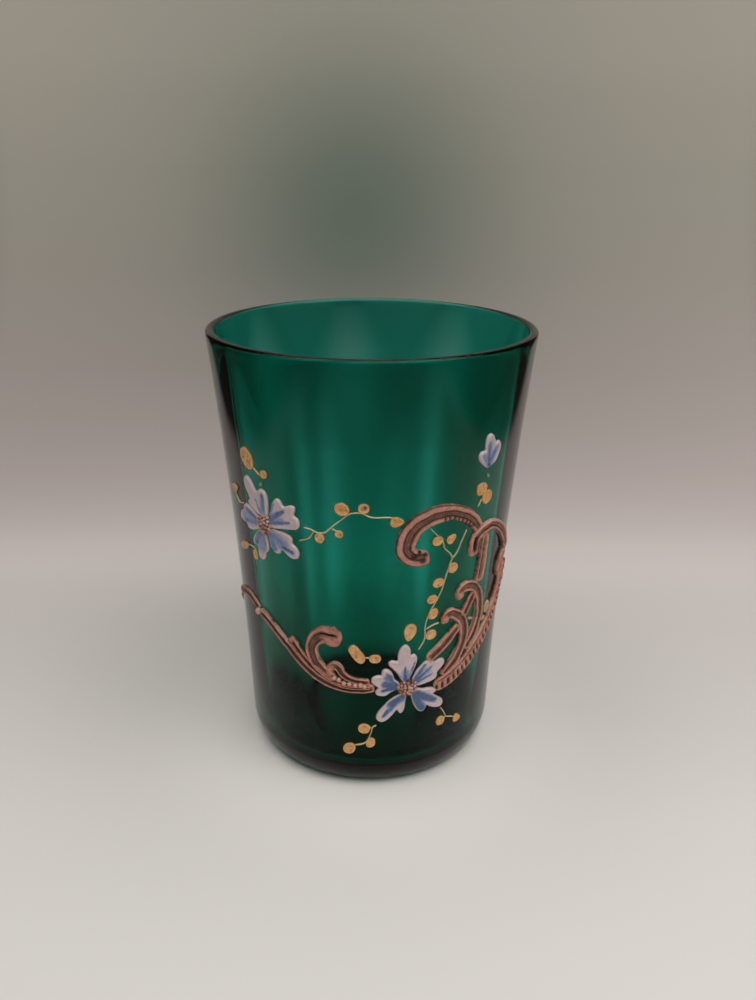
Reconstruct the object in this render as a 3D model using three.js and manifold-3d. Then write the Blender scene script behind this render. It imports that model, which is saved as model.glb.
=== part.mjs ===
// Enamelled glass tumbler: a mould-blown green glass with raised scrolls, two flowers, a bud and
// gold sprigs laid on its wall and fired on. Millimetres, +Z up, the decorated front towards -Y.
import * as THREE from "three";
import { mergeVertices } from "three/addons/utils/BufferGeometryUtils.js";
import Module from "manifold-3d";

const wasm = await Module();
wasm.setup();

// Driving dimensions of the glass
const HEIGHT = 100;
const RIM_RADIUS = 35.7;
const FOOT_RADIUS = 29.25;
const HEEL_REACH = 4.9;
const HEEL_RISE = 8.3;
const WAIST = 0.89;
const LIP_ROUND = 0.8;
const RIM_WALL = 2.1;
const RIDGE_WALL = 2.35;
const FOOT_WALL = 2.7;
const FLOOR_HEIGHT = 3.4;
const FLOOR_DIP = 0.3;
const FLOOR_CORNER = 5;
const UNDERSIDE_RADIUS = 18;
const UNDERSIDE_RISE = 1;

// The nine optic panels pressed into the inside of the wall. They drift sideways as the glass was
// blown out, end in a round arch below the rim, and run out above the floor.
const PANELS = 9;
const PANEL_DEPTH = 1.1;
const PANEL_DRIFT = THREE.MathUtils.degToRad(7.5);
const PANEL_DRIFT_MEAN = 0.6;
const PANEL_DRIFT_FROM = THREE.MathUtils.degToRad(50);
const ARCH_FOOT = 82;
const ARCH_TOP = 98.5;
const ARCH_TILT = 3;
const PANEL_LOW_END = 11;
const PANEL_LOW_FULL = 30;

// Facets of the turned glass: a multiple of the panels and of four
const AROUND = 72;
const OUTER_RINGS = 5;
// Heights of the rings inside, close together where the panels end
const INNER_RINGS = [HEIGHT - LIP_ROUND, 95, 90, 84, 70, 50, 30, 19, FLOOR_HEIGHT + FLOOR_CORNER];

// The drawing is laid out in millimetres of wall: u runs to the right from the front, z runs up
// from a base line a little below the foot
const MEAN_RADIUS = 32;
const BASE_LINE = -0.3;
const SEAT = 0.08;
const GAP = 0.3;
// How far the tools that clear a piece's neighbours reach above and below the wall
const CLEAR_ABOVE = 3;
const CLEAR_BELOW = 1;

// Heights of the fired enamel above the wall
const SCROLL_HEIGHT = 0.9;
const ROPE_HEIGHT = 1.1;
const PETAL_HEIGHT = 0.6;
const PETAL_POINTS = 28;
const CENTRE_HEIGHT = 0.8;
const BEAD_HEIGHT = 1.2;
const BEADS = 6;
const LEAF_HEIGHT = 0.45;
const STEM_HEIGHT = 0.35;
const STEM_WIDTH = 0.6;

// The gadrooned rope band
const ROPE_PITCH = 1.65;
const ROPE_STEPS = 4;
const ROPE_DIP = 0.4;
const ROPE_SLANT = 0.35;

const enamel = {
  pink: { color: 0xb87c68, roughness: 0.5, metalness: 0 },
  white: { color: 0xd6ccd6, roughness: 0.35, metalness: 0 },
  blue: { color: 0x7684ac, roughness: 0.35, metalness: 0 },
  brown: { color: 0x96604f, roughness: 0.5, metalness: 0 },
  gold: { color: 0xd8a455, roughness: 0.4, metalness: 0.4 },
  green: { color: 0x0f5a42, roughness: 0.05, metalness: 0, transparent: true, opacity: 0.6 },
};

const tumbler = new THREE.Group();

function show(name, geometry, finish) {
  const mesh = new THREE.Mesh(geometry, new THREE.MeshStandardMaterial(enamel[finish]));
  mesh.name = name;
  tumbler.add(mesh);
}

// Radius of the outer wall: a taper that bows in at the waist, above an oval heel
function wallRadius(z) {
  if (z < HEEL_RISE) {
    const drop = 1 - z / HEEL_RISE;
    return FOOT_RADIUS - HEEL_REACH * (1 - Math.sqrt(1 - drop ** 2));
  }
  const rise = (z - HEEL_RISE) / (HEIGHT - LIP_ROUND - HEEL_RISE);
  return FOOT_RADIUS + (RIM_RADIUS - FOOT_RADIUS) * rise - 4 * WAIST * rise * (1 - rise);
}

// Thickness of the wall on the ridges between the panels
function wallThickness(z) {
  const { lerp, smoothstep } = THREE.MathUtils;
  const ridge = lerp(FOOT_WALL, RIDGE_WALL, smoothstep(z, FLOOR_HEIGHT, HEIGHT / 3));
  return ridge + (RIM_WALL - RIDGE_WALL) * smoothstep(z, ARCH_FOOT, HEIGHT);
}

// Outside of the glass, from the middle of the hollow underside up to the lip
function outerProfile() {
  const points = [new THREE.Vector2(0, UNDERSIDE_RISE)];
  for (const share of [0.35, 0.7]) {
    points.push(new THREE.Vector2(UNDERSIDE_RADIUS * share, UNDERSIDE_RISE * (1 - share ** 2)));
  }
  points.push(new THREE.Vector2(UNDERSIDE_RADIUS, 0));
  for (let step = 0; step < 4; step++) {
    const turn = (step / 4) * (Math.PI / 2);
    const across = FOOT_RADIUS - HEEL_REACH * (1 - Math.sin(turn));
    points.push(new THREE.Vector2(across, HEEL_RISE * (1 - Math.cos(turn))));
  }
  for (let ring = 0; ring <= OUTER_RINGS; ring++) {
    const z = THREE.MathUtils.lerp(HEEL_RISE, HEIGHT - LIP_ROUND, ring / OUTER_RINGS);
    points.push(new THREE.Vector2(wallRadius(z), z));
  }
  return points;
}

// The fire-polished lip, a half round over the thickness of the wall
function lipProfile() {
  const middle = RIM_RADIUS - RIM_WALL / 2;
  return [45, 90, 135].map((degrees) => {
    const turn = THREE.MathUtils.degToRad(degrees);
    const z = HEIGHT - LIP_ROUND + LIP_ROUND * Math.sin(turn);
    return new THREE.Vector2(middle + (RIM_WALL / 2) * Math.cos(turn), z);
  });
}

// Inside of the glass, from the lip down to the middle of the floor
function innerProfile() {
  const low = FLOOR_HEIGHT + FLOOR_CORNER;
  const points = INNER_RINGS.map((z) => new THREE.Vector2(wallRadius(z) - wallThickness(z), z));
  const corner = wallRadius(low) - wallThickness(low) - FLOOR_CORNER;
  for (const degrees of [30, 60, 90]) {
    const turn = THREE.MathUtils.degToRad(degrees);
    const across = corner + FLOOR_CORNER * Math.cos(turn);
    points.push(new THREE.Vector2(across, low - FLOOR_CORNER * Math.sin(turn)));
  }
  points.push(new THREE.Vector2(corner / 2, FLOOR_HEIGHT - FLOOR_DIP * 0.75));
  points.push(new THREE.Vector2(0, FLOOR_HEIGHT - FLOOR_DIP));
  return points;
}

// How far an optic panel is sunk into the inner wall: a round-ended hollow between two ridges
function flute(angle, z) {
  const drift = PANEL_DRIFT * (PANEL_DRIFT_MEAN - Math.cos(angle - PANEL_DRIFT_FROM));
  const across = (1 - Math.cos(PANELS * (angle - drift))) / 2;
  const tilt = ARCH_TILT * (1 - Math.cos(angle));
  const top = Math.max(0, (z - ARCH_FOOT - tilt) / (ARCH_TOP - ARCH_FOOT));
  const low = Math.max(0, (PANEL_LOW_FULL - z) / (PANEL_LOW_FULL - PANEL_LOW_END)) ** 2;
  return PANEL_DEPTH * Math.max(0, across - top - low);
}

function glassBody() {
  const outer = outerProfile();
  const lip = lipProfile();
  const profile = [...outer, ...lip, ...innerProfile()];
  const geometry = new THREE.LatheGeometry(profile, AROUND);
  geometry.rotateX(Math.PI / 2);
  const position = geometry.attributes.position;
  const firstInner = outer.length + lip.length;
  for (let i = 0; i < position.count; i++) {
    const across = Math.hypot(position.getX(i), position.getY(i));
    if (i % profile.length < firstInner || across < 1) continue;
    const angle = Math.atan2(position.getX(i), -position.getY(i));
    const scale = 1 + flute(angle, position.getZ(i)) / across;
    position.setXY(i, position.getX(i) * scale, position.getY(i) * scale);
  }
  return plain(geometry);
}

// Position and faces only, with shared corners merged
function plain(geometry) {
  const copy = geometry.clone();
  copy.deleteAttribute("normal");
  copy.deleteAttribute("uv");
  return mergeVertices(copy, 1e-4);
}

function toSolid(geometry) {
  const merged = plain(geometry);
  const vertProperties = new Float32Array(merged.attributes.position.array);
  const triVerts = new Uint32Array(merged.index.array);
  return new wasm.Manifold(new wasm.Mesh({ numProp: 3, vertProperties, triVerts }));
}

// A solid from corner points in a flat list and the faces between them
function closed(points, faces) {
  const geometry = new THREE.BufferGeometry();
  geometry.setAttribute("position", new THREE.Float32BufferAttribute(points, 3));
  geometry.setIndex(faces);
  return toSolid(geometry);
}

function toGeometry(whole) {
  const mesh = whole.getMesh();
  const geometry = new THREE.BufferGeometry();
  geometry.setAttribute("position", new THREE.BufferAttribute(mesh.vertProperties.slice(), 3));
  geometry.setIndex(new THREE.BufferAttribute(mesh.triVerts.slice(), 1));
  return geometry;
}

// A point of the drawing, some height above the seat of the enamel on the wall
function onWall(u, z, height) {
  const angle = u / MEAN_RADIUS;
  const up = z + BASE_LINE;
  const radius = wallRadius(up) + SEAT + height;
  return [radius * Math.sin(angle), -radius * Math.cos(angle), up];
}

// Cross-sections of a stroke, from edge to edge: share of the half width, share of the height
const DOME = [[-1, 0], [-0.6, 0.75], [0, 1], [0.6, 0.75], [1, 0]];
const THREAD = [[-1, 0], [0, 1], [1, 0]];
const ridged = (ridges) => ridges === 1 ? DOME : Array.from({ length: 2 * ridges + 1 }, (_, k) => {
  const edge = k === 0 || k === 2 * ridges;
  return [k / ridges - 1, edge ? 0 : k % 2 ? 1 : 0.5];
});

function widthAt(widths, share) {
  const place = share * (widths.length - 1);
  const low = Math.min(Math.floor(place), widths.length - 2);
  return THREE.MathUtils.lerp(widths[low], widths[low + 1], place - low);
}

// Distances along a stroke: close together in its round ends, even between them
function stations(length, ends, step) {
  const turns = [0.75, Math.PI / 2];
  const first = turns.map((turn) => ends[0] * (1 - Math.cos(turn)));
  const last = turns.map((turn) => length - ends[1] * (1 - Math.cos(turn))).reverse();
  const span = length - ends[0] - ends[1];
  const count = Math.max(1, Math.round(span / step));
  const middle = Array.from({ length: count - 1 }, (_, k) => ends[0] + (span * (k + 1)) / count);
  return span > 0.05 ? [...first, ...middle, ...last] : [...first, ...last.slice(1)];
}

// A stroke of enamel: a section swept along a smooth route on the wall, with round ends.
// grow widens, raises and deepens it, which makes the tool that clears its neighbours.
function stroke(spec, grow = 0) {
  const { route, widths, height, section = DOME, step = 1.7, wave = () => 1 } = spec;
  const path = route.map(([u, z]) => new THREE.Vector3(u, z, 0));
  const curve = new THREE.CatmullRomCurve3(path, false, "centripetal");
  const length = curve.getLength();
  const halfEnds = spec.ends ?? [widths[0] / 2, widths.at(-1) / 2];
  const top = grow > 0 ? CLEAR_ABOVE : height;
  const bottom = grow > 0 ? -CLEAR_BELOW : 0;
  const points = [];
  const count = section.length + 1;
  const places = stations(length, halfEnds, step);
  for (const distance of places) {
    const share = distance / length;
    const centre = curve.getPointAt(share);
    const along = curve.getTangentAt(share);
    const rounding = (gone, end) => (gone < end ? Math.sqrt(1 - (1 - gone / end) ** 2) : 1);
    const round = Math.min(rounding(distance, halfEnds[0]), rounding(length - distance, halfEnds[1]));
    const half = (widthAt(widths, share) / 2) * round + grow;
    for (const [across, lift] of section) {
      const u = centre.x - along.y * across * half;
      const z = centre.y + along.x * across * half;
      const crest = grow > 0 ? (lift > 0 ? top : bottom) : top * lift * round * wave(distance, across);
      points.push(...onWall(u, z, crest));
    }
    points.push(...onWall(centre.x, centre.y, bottom));
  }
  const start = curve.getPointAt(0).addScaledVector(curve.getTangentAt(0), -grow);
  const finish = curve.getPointAt(1).addScaledVector(curve.getTangentAt(1), grow);
  const startIndex = points.length / 3;
  points.push(...onWall(start.x, start.y, bottom), ...onWall(finish.x, finish.y, bottom));
  const faces = [];
  for (let k = 0; k < count; k++) {
    const next = (k + 1) % count;
    faces.push(startIndex, k, next);
    for (let ring = 0; ring < places.length - 1; ring++) {
      const here = ring * count;
      const there = here + count;
      faces.push(here + k, there + next, here + next, here + k, there + k, there + next);
    }
    const lastRing = (places.length - 1) * count;
    faces.push(startIndex + 1, lastRing + next, lastRing + k);
  }
  return closed(points, faces);
}

// A petal: a dab of enamel inside a freehand outline, rising from its edge to a flat dome over its heart
function petal({ heart, outline }, grow = 0) {
  const corners = outline.map(([u, z]) => new THREE.Vector3(u, z, 0));
  if (THREE.ShapeUtils.area(corners) < 0) corners.reverse();
  const loop = new THREE.CatmullRomCurve3(corners, true, "centripetal");
  const rings = grow > 0
    ? [[1, -CLEAR_BELOW], [1, CLEAR_ABOVE]]
    : [[0.5, 0], [1, 0], [0.85, 0.85 * PETAL_HEIGHT], [0.5, PETAL_HEIGHT]];
  const points = rings.flatMap(([reach, height]) => Array.from({ length: PETAL_POINTS }, (_, k) => {
    const edge = loop.getPointAt(k / PETAL_POINTS);
    const along = loop.getTangentAt(k / PETAL_POINTS);
    const u = heart[0] + (edge.x - heart[0]) * reach + along.y * grow;
    const z = heart[1] + (edge.y - heart[1]) * reach - along.x * grow;
    return onWall(u, z, height);
  })).flat();
  points.push(...onWall(...heart, rings[0][1]), ...onWall(...heart, rings.at(-1)[1]));
  const below = rings.length * PETAL_POINTS;
  const last = below - PETAL_POINTS;
  const faces = [];
  for (let k = 0; k < PETAL_POINTS; k++) {
    const next = (k + 1) % PETAL_POINTS;
    faces.push(below, next, k, below + 1, last + k, last + next);
    for (let here = 0; here < last; here += PETAL_POINTS) {
      const there = here + PETAL_POINTS;
      faces.push(here + k, here + next, there + next, here + k, there + next, there + k);
    }
  }
  return closed(points, faces);
}

const solid = (spec, grow) => (spec.outline ? petal(spec, grow) : stroke(spec, grow));

const join = (specs, grow) => specs.map((spec) => solid(spec, grow)).reduce((a, b) => a.add(b));

const touches = (a, b) => a.min.every((low, k) => low < b.max[k] && b.min[k] < a.max[k]);

// Lay a piece of enamel: it stops short of every piece laid before it
const laid = [];
function lay(name, specs, finish) {
  let piece = join(specs, 0);
  const box = piece.boundingBox();
  for (const tool of laid) {
    if (touches(box, tool.boundingBox())) piece = piece.subtract(tool);
  }
  const whole = piece.decompose().sort((a, b) => b.volume() - a.volume())[0];
  laid.push(join(specs, GAP));
  show(name, toGeometry(whole), finish);
}

// Brush strokes by kind
const stem = (...route) => ({
  route, widths: [STEM_WIDTH, STEM_WIDTH], height: STEM_HEIGHT, section: THREAD, step: 2.4,
});
const scroll = (route, widths, ridges) => ({
  route, widths, height: SCROLL_HEIGHT, section: ridged(ridges),
});

// A leaf is an oval dab: its middle, its length and width, and the way it points in degrees
function leaf(u, z, length, width, degrees = 0, height = LEAF_HEIGHT) {
  const turn = THREE.MathUtils.degToRad(degrees);
  const reach = [Math.cos(turn) * length / 2, Math.sin(turn) * length / 2];
  const route = [[u - reach[0], z - reach[1]], [u + reach[0], z + reach[1]]];
  return { route, widths: [width, width], ends: [length / 2, length / 2], height };
}

// A flower's middle is a low dome with a ring of beads and one in the centre
function flowerCentre(u, z, radius) {
  const bead = (x, y) => ({ ...leaf(x, y, 1.2, 1.2, 0, BEAD_HEIGHT), section: THREAD });
  const ring = Array.from({ length: BEADS }, (_, k) => {
    const turn = (k / BEADS) * 2 * Math.PI;
    return bead(u + (radius - 0.6) * Math.cos(turn), z + (radius - 0.6) * Math.sin(turn));
  });
  return [leaf(u, z, 2 * radius, 2 * radius, 0, CENTRE_HEIGHT), bead(u, z), ...ring];
}

function flower(name, centre, radius, petals) {
  lay(`${name}_centre`, flowerCentre(...centre, radius), "brown");
  petals.forEach((spec, k) => lay(`${name}_petal_${k + 1}`, [spec], k % 2 ? "blue" : "white"));
}

show("glass_body", glassBody(), "green");

flower("left_flower", [-23.3, 63.5], 2.3, [
  { heart: [-23.9, 66.5], outline: [
    [-25.2, 65.4], [-26.7, 66.2], [-27.9, 66.9], [-28.2, 67.5], [-27.4, 68.2], [-28.2, 69.7],
    [-28.8, 71.3], [-28.8, 72.5], [-28, 73.2], [-27.1, 73], [-26.1, 72], [-24.9, 70.5], [-24.3, 71],
    [-23.5, 71.5], [-22.5, 71.2], [-21.9, 70.2], [-21.8, 68.7], [-22, 67.2], [-22.3, 65.5], [-23.6, 65],
  ] },
  { heart: [-25.9, 63.3], outline: [
    [-25.2, 64.8], [-27.4, 66.1], [-29, 66.4], [-29.9, 66.2], [-30.5, 65.3], [-30.5, 64.6],
    [-31.8, 64.1], [-32.3, 63.2], [-32.2, 62.1], [-31.1, 61.7], [-29.8, 61.6], [-29.2, 60.8],
    [-28, 60.7], [-26.6, 61.2], [-25.2, 62], [-24.6, 63.4],
  ] },
  { heart: [-24.6, 60.6], outline: [
    [-25.2, 61.8], [-27.2, 59.9], [-28, 58.5], [-27.7, 57.6], [-26.4, 57.3], [-26.5, 56], [-26.2, 54.9],
    [-25.1, 54.5], [-24.3, 55.4], [-24, 56.6], [-23.4, 56.9], [-22.9, 58], [-22.9, 59.2], [-23.1, 60.6],
    [-23.3, 61.7], [-24.2, 62.2],
  ] },
  { heart: [-21.6, 61.9], outline: [
    [-22.7, 61.6], [-22.4, 60.1], [-22.2, 59], [-21.5, 58], [-20.5, 57.5], [-19.6, 57.8], [-19.3, 58.6],
    [-18.6, 58.5], [-17.4, 57.7], [-16.3, 57.3], [-15.2, 57.7], [-14.8, 58.9], [-15.2, 60], [-16.3, 61],
    [-16.2, 61.9], [-16.8, 62.6], [-18.1, 63], [-19.7, 63.1], [-21.4, 63.2], [-22.4, 62.6],
  ] },
  { heart: [-20.9, 64.9], outline: [
    [-21.9, 65.7], [-21, 67.6], [-20.6, 68.8], [-20, 69.9], [-19.3, 70.4], [-18.6, 70.2], [-17.7, 69],
    [-16.8, 69.3], [-15.8, 69.6], [-15.1, 69.3], [-15.1, 68.5], [-15.4, 67.5], [-14.5, 66.8],
    [-14.2, 65.9], [-14.4, 65], [-15.1, 64.3], [-16.6, 64], [-18.4, 63.7], [-20.9, 63.3], [-22, 64.3],
  ] },
]);

flower("low_flower", [8.8, 27.4], 2.1, [
  { heart: [8.3, 30.7], outline: [
    [7.5, 29.3], [6.4, 31.2], [5.2, 32.7], [4.4, 33.6], [4.3, 34.3], [5, 34.8], [6.3, 34.6],
    [6.4, 36.1], [6.9, 37.6], [8, 38.5], [8.9, 37.9], [9.3, 36.9], [9.4, 35.7], [10.2, 35.8],
    [10.9, 35], [10.8, 33.4], [10.1, 31.5], [9.3, 29.5], [8.4, 28.7],
  ] },
  { heart: [5.6, 28.5], outline: [
    [6.6, 29.2], [5.8, 29.9], [5.5, 31], [4.9, 32.1], [4.1, 32.7], [3.2, 32.6], [2.8, 31.9],
    [2.7, 31.2], [1.6, 31.1], [0.7, 30.6], [0.4, 29.7], [0.8, 28.9], [1.9, 28], [1.4, 27], [1.6, 26.2],
    [2.5, 25.8], [3.8, 25.8], [4.8, 26.5], [6.3, 27.3], [7.2, 28.1],
  ] },
  { heart: [7.4, 24.6], outline: [
    [6.9, 25.8], [5.6, 25.2], [4.6, 24.5], [3.6, 23.4], [2.4, 22], [1.7, 20.8], [1.7, 19.7],
    [2.3, 19.1], [3.3, 18.9], [4.5, 19.6], [5.5, 20.7], [6.5, 21.8], [6.9, 21.2], [7.4, 20.8],
    [7.9, 21.1], [8.3, 21.9], [8.5, 23.6], [8.7, 25.3], [7.9, 26.2],
  ] },
  { heart: [10.9, 25.4], outline: [
    [9.8, 25.3], [10.2, 23.5], [10.9, 21.9], [11.8, 20.7], [12.5, 20.3], [13.2, 20.4], [13.7, 21.1],
    [13.9, 21.7], [14.9, 21], [16.3, 20.4], [17.7, 20.3], [18.4, 21.1], [18.3, 22], [17.3, 22.9],
    [15.9, 24], [15.6, 24.5], [16.4, 24.8], [16.4, 25.4], [15.6, 25.9], [14.3, 26.3], [12.9, 26.4],
    [11, 26.9], [10, 26.5],
  ] },
  { heart: [10.9, 29], outline: [
    [9.8, 29.1], [10.3, 30.3], [10.9, 31.5], [11.9, 32.5], [13, 33.4], [14, 33.7], [15, 33.3],
    [15.5, 32.8], [16.4, 33.1], [17.4, 33.1], [18, 32.6], [18, 31.7], [17.2, 30.7], [16.3, 29.8],
    [16.3, 29], [15.7, 28.2], [14.5, 27.8], [13, 27.6], [11, 27.5], [10.1, 28.2],
  ] },
]);

lay("bud_petals", [
  { heart: [25.3, 77.9], outline: [
    [25.1, 76], [23.6, 77], [22.5, 78.1], [22.1, 79], [22.3, 79.7], [22.8, 80.1], [23.6, 80.1],
    [23.6, 81.1], [23.6, 82.4], [24.1, 83.3], [24.9, 83.5], [25.7, 82.9], [26.3, 81.8], [26.7, 81],
    [27.1, 81.4], [27.7, 81.4], [28.3, 80.7], [28.4, 79.5], [28, 78.3], [27.2, 77], [26.2, 76.4],
  ] },
], "blue");
lay("bud_dot", [leaf(25.4, 74.2, 0.9, 0.9)], "gold");
lay("bud_leaves", [
  leaf(24, 71.6, 3.4, 3), leaf(26.2, 69.1, 3.6, 3, -30), stem([25, 69.6], [24.2, 68.9], [23.5, 67.6]),
], "gold");

// The gadrooned band: its height falls between the ribs, which lean across it
const ropeWave = (distance, across) => {
  const phase = distance / ROPE_PITCH + ROPE_SLANT * across;
  return 1 - ROPE_DIP * (0.5 + 0.5 * Math.cos(2 * Math.PI * phase));
};

lay("rope_band", [{
  route: [[15.5, 26.3], [21, 28], [27, 31.6], [32.8, 36.3], [37.2, 42.7], [39.5, 50]],
  widths: [3.4, 4.2, 4], height: ROPE_HEIGHT, wave: ropeWave, step: ROPE_PITCH / ROPE_STEPS,
}], "pink");
lay("right_crook", [
  scroll([[23.6, 56.3], [23.5, 58.3], [23.6, 59.9], [24.8, 61.4], [27, 62], [28.8, 62.2], [31.5, 61.2],
    [34.2, 59.3], [38.2, 54.3], [39.6, 52]], [2.4, 3, 2.5, 2.8, 2.8], 3),
], "pink");
lay("upper_crook", [
  scroll([[24.3, 62.6], [21.8, 65.4], [18.9, 67.4], [16, 68.4], [13.3, 68.5], [10.9, 67.6], [8.9, 66],
    [7.7, 63.7], [7.4, 61.4], [8.4, 59.9], [10.2, 59.3], [12.3, 59.5]],
    [2.6, 3.2, 3.3, 3.9, 4, 4, 3.4, 3.2], 3),
], "pink");
lay("right_volute", [
  scroll([[38.5, 52.3], [36.5, 52.9], [34.8, 51.6], [35.8, 49.3], [37.6, 48]], [1.1, 1.1], 1),
], "pink");
lay("middle_crook", [
  scroll([[21.3, 46.8], [20.7, 48.2], [21.4, 49.3], [23.3, 49.4], [25.2, 48.4], [27.5, 44.2], [27.8, 40.9],
    [27, 37.9], [23.6, 33.4]], [2, 2.6, 2.6, 2.8, 2.4], 2),
], "pink");
lay("stem_scroll", [scroll([[27, 60.9], [26.4, 49.2]], [2.2, 2.8], 2)], "pink");
lay("lower_crook", [
  scroll([[17.2, 41.8], [17.3, 43.3], [18.4, 44.1], [19.8, 43.5], [21.6, 42], [22.8, 39.2], [22.8, 35.8],
    [21.3, 32.5], [17.3, 28.8]], [2, 2.6, 2.8, 2.7, 1.8], 2),
], "pink");
lay("strut_scroll", [scroll([[25.2, 47.5], [22.2, 42.1]], [2.2, 2.2], 2)], "pink");
lay("diagonal_scroll", [scroll([[12, 32.2], [17.5, 36.9], [21.4, 40.5]], [2.4, 2.4], 2)], "pink");

lay("left_crook", [
  scroll([[-5.4, 40.2], [-7.9, 40.3], [-10, 40.5], [-11.7, 39.6], [-12.9, 37.8], [-13.1, 35.6],
    [-12.3, 33.5], [-10.9, 31.9], [-7.9, 30]], [4.4, 5.2, 4.2, 3.5, 3.2, 3, 2.9, 2.6, 2], 2),
], "pink");
lay("left_curl", [
  scroll([[-8.9, 30.2], [-9, 31.6], [-8.6, 32.7], [-7.6, 33.2], [-6.7, 32.6], [-6.1, 31.5], [-4.8, 30.5],
    [-2.6, 29.8], [0.2, 29.5]], [1.8, 2, 1.6, 1.2, 1.3], 1),
], "pink");
lay("left_inner_band", [
  scroll([[-18.7, 37.9], [-16.2, 34.9], [-12, 31.3], [-7, 28.9], [-4, 28.4], [0.5, 28.6]],
    [1.9, 1.7, 1.5], 1),
], "pink");
lay("left_band", [
  scroll([[-28.4, 40.8], [-26.6, 40.4], [-23.9, 38.9], [-18.9, 35.1], [-13.7, 30.7], [-8.2, 28.2],
    [-4.9, 27.7], [1.3, 28.1]], [2, 2], 2),
], "pink");
lay("left_tail", [
  scroll([[-50.3, 27.1], [-50, 25.5], [-51.3, 24.5], [-52.9, 25.8], [-53.2, 28.5], [-51.8, 31.6],
    [-46, 37.1], [-40, 41], [-37, 42.3], [-34.5, 42.8], [-32.3, 42.6], [-28.9, 41]], [1.6, 1.8, 2, 2], 2),
], "pink");

lay("top_left_sprig", [
  leaf(-27.1, 77.2, 5, 3.7, -62), leaf(-22.4, 74.9, 2, 1.9, 20),
  stem([-26.2, 76], [-24.6, 75.1], [-23.7, 74.3]), stem([-22.8, 74.6], [-23.7, 74.3]),
], "gold");
lay("left_flower_dot", [leaf(-23.5, 72.4, 0.9, 0.7, 90)], "gold");
lay("side_left_sprig", [
  leaf(-34.7, 68.2, 3.2, 1.9, 15), stem([-35, 67.7], [-33, 65.6], [-30.9, 65.9]),
], "gold");
lay("low_left_sprig", [
  leaf(-33.2, 55.2, 4.6, 1.9, 22), leaf(-28.1, 54.8, 2.6, 1.8, 90),
  stem([-32, 55.7], [-30, 56.3], [-28, 56.3]), stem([-28.1, 56.4], [-28.1, 55]),
], "gold");
lay("middle_sprig", [
  stem([-14.6, 65.3], [-12, 65], [-9.2, 64.7], [-5.5, 68.1], [-3.7, 69.5], [0.1, 68.8],
    [3.9, 68.5], [5.4, 67.9]),
  stem([-14.9, 61.9], [-12.5, 63], [-11.3, 64.9]),
  leaf(-10.2, 63.4, 2.5, 2.1, 80), leaf(-6.2, 64.8, 1.8, 1.7), stem([-7.9, 66], [-6.4, 65.2]),
  leaf(-5.5, 70.3, 3.1, 2.8, -35), leaf(-1.3, 70.6, 2.3, 2.2), leaf(5, 67.6, 2.8, 2.1),
], "gold");
lay("vine_sprig", [
  stem([12, 65.3], [15, 62], [17.7, 57.4], [16.4, 53], [14.8, 48.6], [12.5, 43.5], [12.2, 39],
    [10.9, 36.6]),
  stem([21, 63.4], [19.2, 59.3], [17.7, 57.2]),
  stem([12.4, 41.4], [14, 42.1], [15.7, 42.4]),
  leaf(13.8, 62.3, 2.6, 2.2, 10), leaf(18.1, 55.1, 2.6, 2.5), leaf(14.7, 52.3, 2.8, 2.2, 10),
  leaf(13.5, 48.6, 2.6, 2.1, 10), leaf(14, 45, 2.7, 2.5, 60), leaf(13.8, 39.9, 2.8, 2.5, 15),
  stem([12.9, 43.9], [13.8, 44.6]), stem([12.2, 39], [13.4, 39.6]),
], "gold");
lay("vine_leaf", [leaf(17.05, 62.1, 2.6, 1.9, 40)], "gold");
lay("single_leaf", [leaf(8.7, 41.3, 4.3, 2.8, -100)], "gold");
lay("double_leaf", [
  { ...leaf(-3, 36.1, 5, 3.2, -55), ends: [1.6, 1.6] }, leaf(1.4, 35.5, 2.5, 2.3),
  stem([-2, 35.5], [1, 35.5]),
], "gold");
lay("bottom_left_sprig", [
  stem([1.7, 18], [0.8, 17.5], [0, 15], [-1.2, 13.2], [-4, 12.3]),
  leaf(-1.3, 17.2, 3, 2.7), leaf(0.2, 13.4, 2.8, 2.3, 70), leaf(-4.9, 11.6, 3.4, 2.8, 40),
  stem([0.6, 17.4], [-0.6, 17.3]),
], "gold");
lay("bottom_right_sprig", [
  stem([17.8, 19.7], [18.7, 18.5], [19.6, 16.7], [21.1, 16.1], [22.8, 15.2]),
  leaf(17.95, 16.2, 2.6, 2.5), leaf(23.3, 14.9, 2.6, 2.1, -20), stem([19.6, 16.7], [18.2, 16.4]),
], "gold");
lay("right_leaf", [leaf(31.5, 40.9, 3.1, 2, 60)], "gold");
lay("right_stub_1", [leaf(24.9, 40.6, 1.6, 0.7, -15)], "gold");
lay("right_stub_2", [leaf(30.3, 38.5, 1.6, 0.7, 30)], "gold");

export default tumbler;
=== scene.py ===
import math

import bpy
import numpy as np
from mathutils import Matrix, Vector


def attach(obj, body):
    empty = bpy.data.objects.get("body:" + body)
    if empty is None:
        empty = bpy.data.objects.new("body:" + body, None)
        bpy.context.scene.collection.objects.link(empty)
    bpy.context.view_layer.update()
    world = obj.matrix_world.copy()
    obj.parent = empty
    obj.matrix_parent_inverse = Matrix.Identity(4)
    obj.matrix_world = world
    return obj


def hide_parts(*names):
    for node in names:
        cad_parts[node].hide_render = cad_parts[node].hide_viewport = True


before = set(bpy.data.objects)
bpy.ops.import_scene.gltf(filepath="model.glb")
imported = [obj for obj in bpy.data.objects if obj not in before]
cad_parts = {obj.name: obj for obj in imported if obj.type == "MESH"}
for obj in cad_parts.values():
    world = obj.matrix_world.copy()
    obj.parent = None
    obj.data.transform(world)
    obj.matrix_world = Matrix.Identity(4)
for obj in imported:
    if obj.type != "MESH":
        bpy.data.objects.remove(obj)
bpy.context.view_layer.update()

MM = 0.001
scene = bpy.context.scene

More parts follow.
